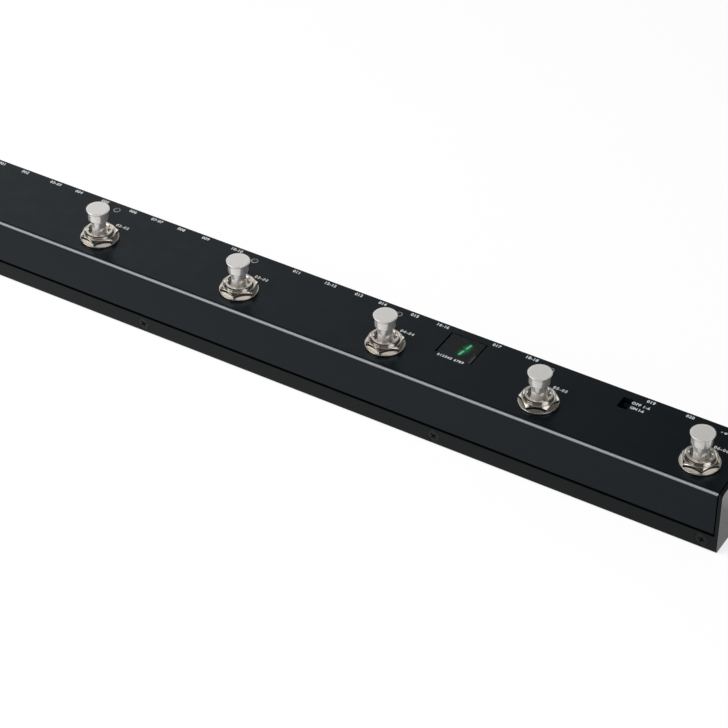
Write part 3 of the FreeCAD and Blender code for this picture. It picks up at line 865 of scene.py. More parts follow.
@dataclass(frozen=True)
class PlatedFinish(Finish):
    """Bright plating on turned pieces, with satin flat ends, whose colour is scaled as a painted shade beside the
    sides.
    """

    satin: float = 0.36
    satin_scatter: float = 0.05
    end_facing: Range = (0.97, 0.995)
    end_relief: float = 0.004
    end_light: float = 1.0

    def dress(self, sheet: Sheet, shader: bpy.types.Node) -> None:
        """Adds turning marks on the flat ends and a faint haze elsewhere.

        Args:
            sheet: The material's nodes.
            shader: Its Principled BSDF.
        """
        grain = self.grained(sheet)
        around = sheet.add("ShaderNodeAttribute", attribute_name=AXIS_ATTRIBUTE)
        rings = LATHE.put_in(sheet, Vector=around.outputs["Vector"])["Rings"]
        flat_end = sheet.spread(sheet.parts(sheet.place("Normal"))["Z"], 0.0, 1.0, *self.end_facing)
        satin = sheet.spread(rings, self.satin - self.satin_scatter, self.satin + self.satin_scatter)
        roughness = sheet.blend(flat_end, grain["Level"], satin, Mix.NUMBERS)
        colour = sheet.blend(grain["Cloud"], self.shade, self.colour)
        # Painted shade: the flat ends that face up get their colour scaled, darker or lighter than the sides.
        shaded_end_colour = tuple(self.end_light * part for part in self.colour)
        sheet.feed(shader, Base_Color=sheet.blend(flat_end, colour, shaded_end_colour), Roughness=roughness)
        self.emboss(sheet, shader, sheet.sum_up("MULTIPLY", rings, flat_end), self.end_relief)


@dataclass(frozen=True)
class BoardFinish(Finish):
    """A circuit board: solder mask with the copper's lines showing through it."""

    track: Colour = (0.05, 0.26, 0.12)
    track_width: float = 0.05
    track_length: float = 0.9
    track_pitch: float = 0.3
    track_scale: float = 120.0
    cloudiness: float = 0.3

    def dress(self, sheet: Sheet, shader: bpy.types.Node) -> None:
        """Adds tracks and pads under the mask.

        Args:
            sheet: The material's nodes.
            shader: Its Principled BSDF.
        """
        grain = self.grained(sheet)
        bricks = sheet.feed(sheet.add("ShaderNodeTexBrick"), Vector=sheet.place(), Scale=self.track_scale,
                            Mortar_Size=self.track_width, Brick_Width=self.track_length, Row_Height=self.track_pitch,
                            Color1=self.colour, Color2=self.shade, Mortar=self.track).outputs
        cloud = sheet.sum_up("MULTIPLY", grain["Cloud"], self.cloudiness)
        sheet.feed(shader, Base_Color=sheet.blend(cloud, bricks["Color"], self.shade), Roughness=grain["Level"])
        self.emboss(sheet, shader, bricks["Fac"], self.relief)


@dataclass(frozen=True)
class ClearFinish(Finish):
    """A see-through pane or lens, with a faint grain in its gloss."""

    index: float = 1.49
    transmission: float = 1.0

    def dress(self, sheet: Sheet, shader: bpy.types.Node) -> None:
        """Makes the body clear and tints it.

        Args:
            sheet: The material's nodes.
            shader: Its Principled BSDF.
        """
        sheet.feed(shader, IOR=self.index, Transmission_Weight=self.transmission)
        self.tint(sheet, shader)


@dataclass(frozen=True)
class HaloFinish(Finish):
    """A dark face with a painted glow round a lit line: emission on the face stands in for the light that the lit
    segments spill onto it.

    middle is the line's X and Y, turn its angle, and reach how far the glow goes across and along it.
    """

    middle: Ring = (0.0, 0.0)
    turn: float = 0.0
    reach: Ring = (1.0, 1.0)
    glow: Colour = (0.0, 0.0, 0.0)

    def dress(self, sheet: Sheet, shader: bpy.types.Node) -> None:
        """Adds the glow, which fades away from the line.

        Args:
            sheet: The material's nodes.
            shader: Its Principled BSDF.
        """
        super().dress(sheet, shader)
        local = sheet.feed(
            sheet.add("ShaderNodeMapping", vector_type="TEXTURE"), Vector=sheet.place(),
            Location=(*(part * MM for part in self.middle), 0.0), Rotation=(0.0, 0.0, self.turn),
            Scale=(*(part * MM for part in self.reach), 1.0),
        )
        near = sheet.spread(sheet.vectors("LENGTH", local.outputs[0])["Value"], 1.0, 0.0)
        # Painted glow: the face itself emits light round the lit segments, though it is no lamp.
        halo = sheet.blend(sheet.sum_up("MULTIPLY", near, near), (0.0, 0.0, 0.0), self.glow)
        sheet.feed(shader, Emission_Color=halo, Emission_Strength=1.0)


@dataclass(frozen=True)
class LitFinish(Finish):
    """A lit segment, a little uneven over its area."""

    strength: float = 4.0

    def dress(self, sheet: Sheet, shader: bpy.types.Node) -> None:
        """Makes the surface glow.

        Args:
            sheet: The material's nodes.
            shader: Its Principled BSDF.
        """
        grain = self.grained(sheet)
        glow = sheet.blend(grain["Cloud"], self.shade, self.colour)
        sheet.feed(shader, Base_Color=glow, Roughness=grain["Level"], Emission_Color=glow,
                   Emission_Strength=self.strength)


# The cover's front top bevel gets a painted highlight from its edge lightening.
COVER = BrushedFinish("brushed_black_cover", "black_case", (0.0042, 0.0076, 0.0104), (0.0024, 0.004, 0.0056),
                      roughness=(0.3, 0.46), grain=5000.0, relief=0.1, level=0.22, edge_gloss=0.5,
                      edge_wear=0.46, gloss_tint=(0.86, 0.97, 1.0))
TRAY = BrushedFinish("black_tray", "black_case", (0.0042, 0.0046, 0.005), (0.0025, 0.0027, 0.003),
                     roughness=(0.34, 0.5), grain=4200.0, relief=0.2, stretch=(20.0, 1500.0, 1500.0),
                     line_relief=0.006, level=0.22, end_gloss=1.0, gloss_tint=(0.92, 0.97, 1.0))
SCREW_BLACK = Finish("blackened_screw", "black_steel", (0.02, 0.021, 0.022), (0.01, 0.011, 0.012),
                     roughness=(0.25, 0.42), metallic=0.6)
NICKEL = PlatedFinish("bright_nickel", "nickel", (0.92, 0.87, 0.8), (0.82, 0.77, 0.7),
                      roughness=(0.04, 0.09), metallic=1.0, grain=1800.0)
# The heads' flat tops are painted a little darker than their sides: painted shade.
NICKEL_HEAD = PlatedFinish("nickel_head", "nickel", (0.95, 0.925, 0.895), (0.88, 0.855, 0.825),
                           roughness=(0.13, 0.19), metallic=0.6, grain=1800.0, satin=0.45, end_light=0.94)
ZINC = Finish("zinc_plate", "zinc", (0.62, 0.63, 0.65), (0.48, 0.49, 0.52), roughness=(0.25, 0.42), metallic=1.0)
STEEL_WIRE = Finish("spring_wire", "spring_steel", (0.5, 0.5, 0.52), (0.38, 0.38, 0.4), roughness=(0.2, 0.35),
                    metallic=1.0)
BRASS = Finish("bare_brass", "brass", (0.78, 0.6, 0.3), (0.62, 0.45, 0.2), roughness=(0.2, 0.38), metallic=1.0)
BOARD = BoardFinish("solder_mask", "board", (0.03, 0.16, 0.07), (0.02, 0.11, 0.05), roughness=(0.25, 0.4))
BLACK_PLASTIC = Finish("moulded_black", "black_plastic", (0.022, 0.022, 0.023), (0.012, 0.012, 0.013),
                       roughness=(0.38, 0.55), grain=3500.0, relief=0.02)
RELAY_PLASTIC = Finish("relay_cover", "relay", (0.75, 0.72, 0.6), (0.64, 0.61, 0.5), roughness=(0.35, 0.5),
                       grain=3000.0, relief=0.02)
WINDOW = ClearFinish("smoked_pane", "smoked_window", (0.06, 0.066, 0.07), (0.045, 0.05, 0.054),
                     roughness=(0.04, 0.09), grain=1500.0, gloss_tint=(0.27, 0.33, 0.36))
LENS = ClearFinish("clear_lens", "lens", (0.05, 0.052, 0.05), (0.03, 0.031, 0.03), roughness=(0.05, 0.12),
                   transmission=0.4)
LENS_RIM = Finish("lens_rim", "lens", (0.34, 0.345, 0.34), (0.26, 0.265, 0.26), roughness=(0.2, 0.35))
# The display's face carries a painted glow round the lit digit.
DISPLAY_FACE = HaloFinish("display_face", "display", (0.012, 0.014, 0.012), (0.008, 0.008, 0.008),
                          roughness=(0.4, 0.55), middle=(66.28, 9.3), turn=math.radians(-12), reach=(3.0, 6.4),
                          glow=(0.02, 3.2, 0.8))
DARK_SEGMENT = Finish("dark_segment", "display", (0.03, 0.04, 0.032), (0.02, 0.028, 0.022), roughness=(0.3, 0.45))
LIT_SEGMENT = LitFinish("lit_segment", "display", (0.17, 0.9, 0.45), (0.1, 0.78, 0.34), roughness=(0.3, 0.45),
                        strength=8.5)
KNOB = Finish("dark_knob", "knob", (0.006, 0.006, 0.0065), (0.0035, 0.0035, 0.004), roughness=(0.45, 0.6),
              relief=0.02, level=0.18)
INK = Finish("white_ink", "knob", (0.62, 0.64, 0.65), (0.5, 0.52, 0.53), roughness=(0.5, 0.7), grain=6000.0)


def paint(obj: bpy.types.Object, finish: Finish) -> None:
    """Gives an object its finish.

    Args:
        obj: A new piece, or a CAD node's object.
        finish: Its finish.
    """
    obj.data.materials.clear()
    obj.data.materials.append(finish.material())


# ---- sub-assemblies ----


@dataclass
class Assembly:
    """A sub-assembly and the new pieces that it has made."""

    made: list[bpy.types.Object] = field(default_factory=list)

    def add(self, piece: bpy.types.Object, finish: Finish, node: str = "", body: str = CASE) -> bpy.types.Object:
        """Gives a new piece its finish and the body it rides on.

        Args:
            piece: The new piece, in place.
            finish: Its finish.
            node: The CAD node it stands for, if any.
            body: The body that carries it.

        Returns:
            The piece.
        """
        paint(piece, finish)
        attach(piece, body)
        if node:
            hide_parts(node)
        self.made.append(piece)
        return piece

    def repeat(self, master: bpy.types.Object, name: str, spots: Sequence[Spot], finish: Finish, node: str,
               body: str = CASE) -> list[bpy.types.Object]:
        """Copies a master piece to each of its spots and removes it.

        Args:
            master: The piece as modelled about the Z axis.
            name: The copies' name, with {} for their number.
            spots: Where they go.
            finish: Their finish.
            node: The CAD node they stand for, with {} for a number where each has its own.
            body: The body that carries them, with {} in the same way.

        Returns:
            The copies.
        """
        if isinstance(finish, PlatedFinish):
            mark_axis(master)
        copies = [
            self.add(copy_to(master, name.format(number), spot), finish, node.format(number), body.format(number))
            for number, spot in enumerate(spots, start=1)
        ]
        bpy.data.objects.remove(master)
        return copies

    def build(self) -> None:
        """Models the pieces and sets them in place."""
        raise NotImplementedError


@dataclass
class Footswitches(Assembly):
    """The six footswitches: heads and plungers that move, and springs, bushings, nuts and washers that don't.

    Each is modelled with height 0 at the panel's face. bushing_chamfer says how much narrower the
    thread's end is, and how far down that starts. mouth_chamfer says how far the mouth opens, how deep,
    and how far its cutter goes past the end. The nut's bore is given by how far its rings stand from
    the thread, and how far from the nut's foot and top.
    """

    bushing_radius: float = 6.0
    bushing_chamfer: Ring = (0.45, 1.1)
    thread_pitch: float = 0.75
    thread_depth: float = 0.32
    thread_overlap: float = 0.4
    bore_radius: float = 3.05
    mouth_radius: float = 4.3
    mouth_depth: float = 2.0
    mouth_chamfer: tuple[float, float, float] = (0.6, 0.35, 0.25)
    flange_radius: float = 7.2
    flange_thickness: float = 1.4
    skirt_radius: float = 5.6
    panel_thickness: float = 2.0
    washer_radius: float = 8.0
    washer_thickness: float = 1.0
    washer_rim: Ring = (0.1, 0.2)
    washer_clearance: float = 0.1
    nut_across_flats: float = 13.6
    nut_thickness: float = 2.3
    nut_slope: float = math.radians(45)
    nut_turns: tuple[float, ...] = (35.0, 47.0, 47.0, 44.0, 20.0, 59.0)
    nut_bore_foot: tuple[Ring, ...] = ((0.5, -0.2), (-0.1, 0.35))
    nut_bore_top: tuple[Ring, ...] = ((-0.1, -0.35), (0.55, 0.2))
    neck_radius: float = 4.2
    neck_step: float = 0.02
    disc_radius: float = 4.8
    disc_thickness: float = 0.9
    disc_slope: Range = (-0.05, 0.1)
    stem_radius: float = 3.0
    collar_radius: float = 4.2
    collar_top: float = -0.15
    collar_thickness: float = 1.45
    spring_radius: float = 4.1
    spring_wire: float = 0.5
    spring_coils: int = 3
    wire_sides: int = 16

    def places(self) -> list[Vector]:
        """Finds where the footswitches stand.

        Returns:
            Each axis at the panel's face, from the left, in metres.
        """
        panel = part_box("footswitch_washers")[0].z
        middles = [middle_of(f"footswitch_button_{number}") for number in range(1, LOOPS + 1)]
        return [Vector((middle.x, middle.y, panel)) for middle in middles]

    def heights(self, node: str) -> Range:
        """Measures how far a node reaches up and down from the panel's face.

        Args:
            node: The node's name.

        Returns:
            The heights of its lowest and highest point over the panel's face.
        """
        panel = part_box("footswitch_washers")[0].z / MM
        low, high = (corner.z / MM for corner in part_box(node))
        return low - panel, high - panel

    def head(self) -> bpy.types.Object:
        """Models the push head: a neck under a thin disc with rounded edges.

        Returns:
            The new object.
        """
        foot, top = self.heights("footswitch_button_1")
        neck_top, rim_foot = (top - self.disc_thickness + part for part in self.disc_slope)
        piece = turned("head", [
            (self.stem_radius + self.neck_step, foot), (self.neck_radius, foot), (self.neck_radius, neck_top),
            (self.disc_radius, rim_foot), (self.disc_radius, top),
        ], sides=FINE_SIDES)
        return soften(piece, width=0.36, angle=25.0, segments=4)

    def stem(self) -> bpy.types.Object:
        """Models the plunger: a polished rod with its collar.

        Returns:
            The new object.
        """
        foot, top = self.heights("footswitch_plunger_1")
        collar_foot = self.collar_top - self.collar_thickness
        piece = turned("stem", [
            (self.stem_radius, foot), (self.stem_radius, collar_foot), (self.collar_radius, collar_foot),
            (self.collar_radius, self.collar_top), (self.stem_radius, self.collar_top), (self.stem_radius, top),
        ])
        return soften(piece, width=0.08)

    def bushing(self) -> bpy.types.Object:
        """Models the bushing: thread, mouth, flange under the panel and skirt round the spring.

        Returns:
            The new object.
        """
        foot, top = self.heights("footswitch_bushings")
        under = -self.panel_thickness
        flange_foot = under - self.flange_thickness
        wide = self.bushing_radius + SPARE
        inset, drop = self.bushing_chamfer
        crown = self.bushing_radius - inset
        span = (under - self.thread_overlap, top)
        piece = threaded("bushing", self.bushing_radius, self.thread_pitch, self.thread_depth, span)
        trim = turned("trim", [
            (wide, under - SPARE), (wide, top - drop), (crown, top + SLIVER), (crown, top + SPARE),
        ])
        piece = combine(piece, trim, Cut.KEEP_SHARED)
        lower = turned("lower", [
            (self.skirt_radius, foot), (self.skirt_radius, flange_foot), (self.flange_radius, flange_foot),
            (self.flange_radius, under),
        ])
        piece = combine(piece, lower, Cut.ADD)
        outset, depth, reach = self.mouth_chamfer
        hollow = turned("hollow", [
            (self.mouth_radius, foot - SPARE), (self.mouth_radius, 0.0), (self.bore_radius, 0.0),
            (self.bore_radius, top - self.mouth_depth), (self.mouth_radius, top - self.mouth_depth),
            (self.mouth_radius, top - depth), (self.mouth_radius + outset, top + reach),
        ])
        return smooth(combine(piece, hollow, Cut.TAKE_AWAY))

    def nut(self) -> bpy.types.Object:
        """Models the hexagon nut, on top of the washer.

        Returns:
            The new object.
        """
        low = self.washer_thickness
        high = low + self.nut_thickness
        bore = tuple(
            (self.bushing_radius + out, height + up)
            for height, rings in ((low, self.nut_bore_foot), (high, self.nut_bore_top)) for out, up in rings
        )
        return HexNut(self.nut_across_flats, low, high, self.nut_slope, foot=(0.35, 0.3), inset=0.05, bore=bore,
                      sides=FINE_SIDES).model()

    def washer(self) -> bpy.types.Object:
        """Models the plain washer with its stamped, slightly rolled rim.

        Returns:
            The new object.
        """
        inset, rise = self.washer_rim
        inner = self.bushing_radius + self.washer_clearance
        piece = turned("washer", [
            (self.washer_radius - inset, 0.0), (self.washer_radius, rise), (self.washer_radius, self.washer_thickness),
            (inner, self.washer_thickness), (inner, 0.0),
        ], sides=FINE_SIDES, through=True)
        return soften(piece, width=0.18, angle=40.0, segments=3)

    def spring(self) -> bpy.types.Object:
        """Models the return spring: round wire wound from the bottom cap up to the plunger's collar.

        Returns:
            The new object.
        """
        low, high = self.heights("footswitch_spring_1")
        wire = self.spring_wire / 2
        deselect()
        bpy.ops.mesh.primitive_circle_add(
            vertices=self.wire_sides, radius=wire * MM, fill_type="NOTHING", rotation=(QUARTER_TURN, 0, 0),
            location=((self.spring_radius - wire) * MM, 0, (low + wire) * MM),
        )
        rise = (high - low - self.spring_wire) / self.spring_coils
        wind(settle("spring"), rise, SMALL_SIDES, self.spring_coils)
        bpy.ops.mesh.fill_holes(sides=self.wire_sides)
        return smooth(settle("spring"))

    def press_keep(self, number: int) -> float:
        """Works out how much of a spring's length is left when its switch is down.

        Args:
            number: The footswitch, counted from the left.

        Returns:
            The share of its length at rest.
        """
        joint = next(joint for joint in frame["joints"] if joint["name"] == f"footswitch_{number}_press")
        low, high = (corner.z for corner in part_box(f"footswitch_spring_{number}"))
        return 1 - joint["range_m"][1] / (high - low)

    def build(self) -> None:
        """Models each kind of piece once and copies it to every footswitch."""
        spots = [Spot(place) for place in self.places()]
        nut_spots = [Spot(spot.place, turn=math.radians(turn)) for spot, turn in zip(spots, self.nut_turns)]
        body = "footswitch_{}"
        self.repeat(self.head(), "switch_head_{}", spots, NICKEL_HEAD, "footswitch_button_{}", body)
        self.repeat(self.stem(), "switch_stem_{}", spots, NICKEL_HEAD, "footswitch_plunger_{}", body)
        self.repeat(self.bushing(), "switch_bushing_{}", spots, NICKEL, "footswitch_bushings")
        self.repeat(self.nut(), "switch_hex_nut_{}", nut_spots, NICKEL, "footswitch_nuts")
        self.repeat(self.washer(), "switch_washer_{}", spots, NICKEL, "footswitch_washers")
        springs = self.repeat(self.spring(), "return_spring_{}", spots, STEEL_WIRE, "footswitch_spring_{}")
        for number, (piece, spot) in enumerate(zip(springs, spots), start=1):
            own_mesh(piece)


@dataclass
class IndicatorLights(Assembly):
    """The small round lights: a pale rim round a dark dome, on two leads.

    facing_up and margin say which faces of a light are its dome: those that look up at least so much,
    so far inside the rim.
    """

    radius: float = 1.5
    rim_width: float = 0.32
    length: float = 5.33
    dome_rise: float = 0.42
    dome_rings: int = 5
    lead: float = 0.5
    lead_spacing: float = 1.7
    solid_gap: float = 10.0
    facing_up: float = 0.2
    margin: float = 0.02

    def lens(self) -> bpy.types.Object:
        """Models one light, its rim at height 0.

        Returns:
            The new object.
        """
        inner = self.radius - self.rim_width
        angles = [QUARTER_TURN * step / self.dome_rings for step in range(self.dome_rings)]
        dome = [(inner * math.cos(angle), self.dome_rise * math.sin(angle)) for angle in angles]
        piece = turned("lens", [(self.radius, -self.length), (self.radius, 0.0), *dome], sides=SMALL_SIDES)
        piece = soften(piece, width=0.05)
        low, high = (corner.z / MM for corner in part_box("indicator_lights"))
        half, foot = self.lead / 2, low - high + self.dome_rise
        for side in (-1, 1):
            x = side * self.lead_spacing / 2
            lead = box("lead", (x - half, -half, foot), (x + half, half, self.lead - self.length))
            piece = combine(piece, lead, Cut.ADD)
        return smooth(piece)

    def colour_apart(self, piece: bpy.types.Object, place: Vector) -> None:
        """Gives the dome and the leads of a light their own materials.

        Args:
            piece: The light, whose rim has its material already.
            place: The middle of its rim.
        """
        piece.data.materials.append(LENS.material())
        piece.data.materials.append(ZINC.material())
        for face in piece.data.polygons:
            centre = face.center
            reach = math.hypot(centre.x - place.x, centre.y - place.y)
            if face.normal.z > self.facing_up and reach < (self.radius - self.rim_width - self.margin) * MM:
                face.material_index = 1
            elif centre.z < place.z - (self.length + SLIVER) * MM:
                face.material_index = 2

    def build(self) -> None:
        """Copies the light to each hole and paints rim, dome and leads apart."""
        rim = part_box("indicator_lights")[1].z - self.dome_rise * MM
        middles = [(low + high) / 2 for low, high in solids_of("indicator_lights", self.solid_gap)]
        spots = [Spot(Vector((middle.x, middle.y, rim))) for middle in middles]
        lights = self.repeat(self.lens(), "indicator_lens_{}", spots, LENS_RIM, "indicator_lights")
        for piece, spot in zip(lights, spots):
            self.colour_apart(piece, spot.place)


@dataclass
class DisplayUnit(Assembly):
    """The seven-segment digit under the smoked window, showing a lit 1.

    A segment is bar wide. Its points are as long as the share point_length of half of that, and as
    wide at the tip as the share point_width of it. pane_chamfer is how far the pane's sides lean in
    towards its top.
    """

    digit_height: float = 9.2
    digit_width: float = 5.4
    bar: float = 0.95
    gap: float = 1.05
    point_length: float = 0.9
    point_width: float = 0.08
    slant: float = math.radians(12)
    rise: float = 0.04
    offset: Ring = (-1.77, 1.54)
    flange_thickness: float = 0.8
    flange_width: float = 1.1
    pane_chamfer: float = 0.55
    lit: tuple[str, ...] = ("b", "c")

    def segment(self, length: float) -> bpy.types.Object:
        """Models one segment: a bar along X with pointed ends.

        Args:
            length: Its length over the points.

        Returns:
            The new object.
        """
        half, side = length / 2, self.bar / 2
        piece = box("segment", (-(half - side), -side, 0), (half - side, side, self.rise))
        take_up(piece)
        bpy.ops.object.mode_set(mode="EDIT")
        for end in (-1, 1):
            bpy.ops.mesh.select_mode(type="FACE")
            bpy.ops.mesh.select_all(action="DESELECT")
            bpy.ops.object.mode_set(mode="OBJECT")
            for face in piece.data.polygons:
                face.select = face.normal.x * end > FACES
            bpy.ops.object.mode_set(mode="EDIT")
            out = (end * side * self.point_length * MM, 0, 0)
            bpy.ops.mesh.extrude_region_move(TRANSFORM_OT_translate={"value": out})
            bpy.ops.transform.resize(value=(1, self.point_width, 1), center_override=(0, 0, self.rise / 2 * MM))
        bpy.ops.mesh.select_mode(type="EDGE")
        return settle("segment")

    def pane(self) -> bpy.types.Object:
        """Models the window: a flange under the panel and a pane with chamfered sides in the cut-out.

        Returns:
            The new object, in place.
        """
        low, high = (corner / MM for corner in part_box("display_window"))
        step = Vector((self.flange_width, self.flange_width, 0))
        foot = low + step + Vector((0, 0, self.flange_thickness / 2))
        piece = box("pane", foot, high - step)
        half = (high - step - foot) / 2
        middle = (high + low) / 2
        spare = half.z * 2
        wide = half.x - self.pane_chamfer + spare
        trim = box("trim", (middle.x - wide, middle.y - half.y - spare, high.z - spare),
                   (middle.x + wide, middle.y + half.y + spare, high.z + spare), end_scale=1 - 2 * spare / wide)
        piece = combine(piece, trim, Cut.KEEP_SHARED)
        flange = box("smoked_pane", low, (high.x, high.y, low.z + self.flange_thickness))
        return smooth(combine(flange, piece, Cut.ADD))

    def build(self) -> None:
        """Lays the seven segments on the display's face and sets the window over them."""
        low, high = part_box("display_module")
        across, along = self.offset
        centre = Vector(((low.x + high.x) / 2 + across * MM, (low.y + high.y) / 2 + along * MM, high.z))
        half, quarter = self.digit_width / 2, self.digit_height / 4
        plan = {
            "a": (0, 2 * quarter, False), "d": (0, -2 * quarter, False), "g": (0, 0, False),
            "f": (-half, quarter, True), "b": (half, quarter, True),
            "e": (-half, -quarter, True), "c": (half, -quarter, True),
        }
        upright_bar = self.segment(self.digit_height / 2 - self.gap)
        level_bar = self.segment(self.digit_width - self.gap)
        for name, (x, y, upright) in plan.items():
            place = centre + Vector(((x + y * math.tan(self.slant)) * MM, y * MM, 0))
            spot = Spot(place, turn=QUARTER_TURN - self.slant if upright else 0.0)
            piece = copy_to(upright_bar if upright else level_bar, f"digit_segment_{name}", spot)
            self.add(piece, LIT_SEGMENT if name in self.lit else DARK_SEGMENT)
        bpy.data.objects.remove(upright_bar)
        bpy.data.objects.remove(level_bar)
        paint(frame["nodes"]["display_module"], DISPLAY_FACE)
        self.add(self.pane(), WINDOW, "display_window")


@dataclass
class SlideSwitch(Assembly):
    """The slide switch: a knob with grip ridges on a foot that stays under the panel, in its housing."""

    foot_height: float = 1.8
    post_half: float = 1.1
    overlap: float = 0.2
    ridge: float = 0.3
    ridge_height: float = 0.3
    ridge_half: float = 2.0
    ridge_count: int = 3

    def build(self) -> None:
        """Models the knob on its foot and dresses the housing."""
        low, high = (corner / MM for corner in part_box("slide_switch_knob"))
        x, y = (low.x + high.x) / 2, (low.y + high.y) / 2
        shoulder = low.z + self.foot_height
        piece = box("slide_knob", (low.x, low.y, low.z), (high.x, high.y, shoulder))
        post = box("post", (x - self.post_half, y - self.post_half, shoulder - self.overlap),
                   (x + self.post_half, y + self.post_half, high.z))
        piece = combine(piece, post, Cut.ADD)
        for index in range(self.ridge_count):
            middle = y + (index - (self.ridge_count - 1) / 2) * 2 * self.ridge
            groove = box("groove", (x - self.ridge_half, middle - self.ridge / 2, high.z - self.ridge_height),
                         (x + self.ridge_half, middle + self.ridge / 2, high.z + SPARE))
            piece = combine(piece, groove, Cut.TAKE_AWAY)
        self.add(soften(piece, width=0.06), KNOB, "slide_switch_knob", "slide_switch")
        paint(frame["nodes"]["slide_switch_housing"], ZINC)


@dataclass
class CaseShell(Assembly):
    """The cover and tray with slightly broken edges, and the countersunk screws."""

    cover_edge: float = 0.2
    tray_edge: float = 0.12
    head_radius: float = 2.8
    head_depth: float = 1.3
    head_bevel: float = 0.3
    shank_radius: float = 1.5
    screw_length: float = 4.8
    cross_length: float = 3.2
    cross_width: float = 0.75
    cross_depth: float = 1.2
    cross_taper: float = 0.55
    turn_step: float = 17.0
    solid_gap: float = 3.0

    def broken_edges(self, node: str, name: str, finish: Finish, edge: float) -> None:
        """Stands in for a sheet node with a merged copy whose edges are a little rounded.

        Args:
            node: The CAD node.
            name: The new piece's name.
            finish: Its finish.
            edge: The width of the rounding.
        """
        piece = frame["nodes"][node].copy()
        piece.data = piece.data.copy()
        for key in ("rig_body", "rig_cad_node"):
            del piece[key]
        piece.parent = None
        piece.name = piece.data.name = name
        bpy.context.scene.collection.objects.link(piece)
        take_up(piece)
        edit_all()
        bpy.ops.mesh.remove_doubles(threshold=MERGE)
        bpy.ops.mesh.dissolve_limited(angle_limit=FLAT_ANGLE)
        bpy.ops.object.mode_set(mode="OBJECT")
        bpy.ops.mesh.customdata_custom_splitnormals_clear()
        self.add(soften(piece, edge, angle=50.0), finish, node)

    def screw(self) -> bpy.types.Object:
        """Models a countersunk screw with a tapered cross recess, its face at height 0.

        Returns:
            The new object.
        """
        piece = turned("screw", [
            (self.shank_radius, -self.screw_length), (self.shank_radius, -self.head_depth),
            (self.head_radius, -self.head_bevel), (self.head_radius - self.head_bevel, 0.0),
        ], sides=SMALL_SIDES)
        for x, y in ((self.cross_length / 2, self.cross_width / 2), (self.cross_width / 2, self.cross_length / 2)):
            slot = box("slot", (-x, -y, -self.cross_depth), (x, y, self.head_bevel), end_scale=self.cross_taper)
            piece = combine(piece, slot, Cut.TAKE_AWAY)
        return soften(piece, width=0.05)

    def build(self) -> None:
        """Dresses cover and tray and sets the screws."""
        self.broken_edges("top_cover", "cover_shell", COVER, self.cover_edge)
        self.broken_edges("base_tray", "tray_shell", TRAY, self.tray_edge)
        parting = middle_of("case_screws").y
        spots = []
        for number, (low, high) in enumerate(solids_of("case_screws", self.solid_gap, in_rows=True), start=1):
            middle = (low + high) / 2
            front = high.y < parting
            place = Vector((middle.x, low.y if front else high.y, middle.z))
            facing = Facing.FRONT if front else Facing.REAR
            spots.append(Spot(place, facing, math.radians(self.turn_step * number)))
        self.repeat(self.screw(), "case_screw_{}", spots, SCREW_BLACK, "case_screws")


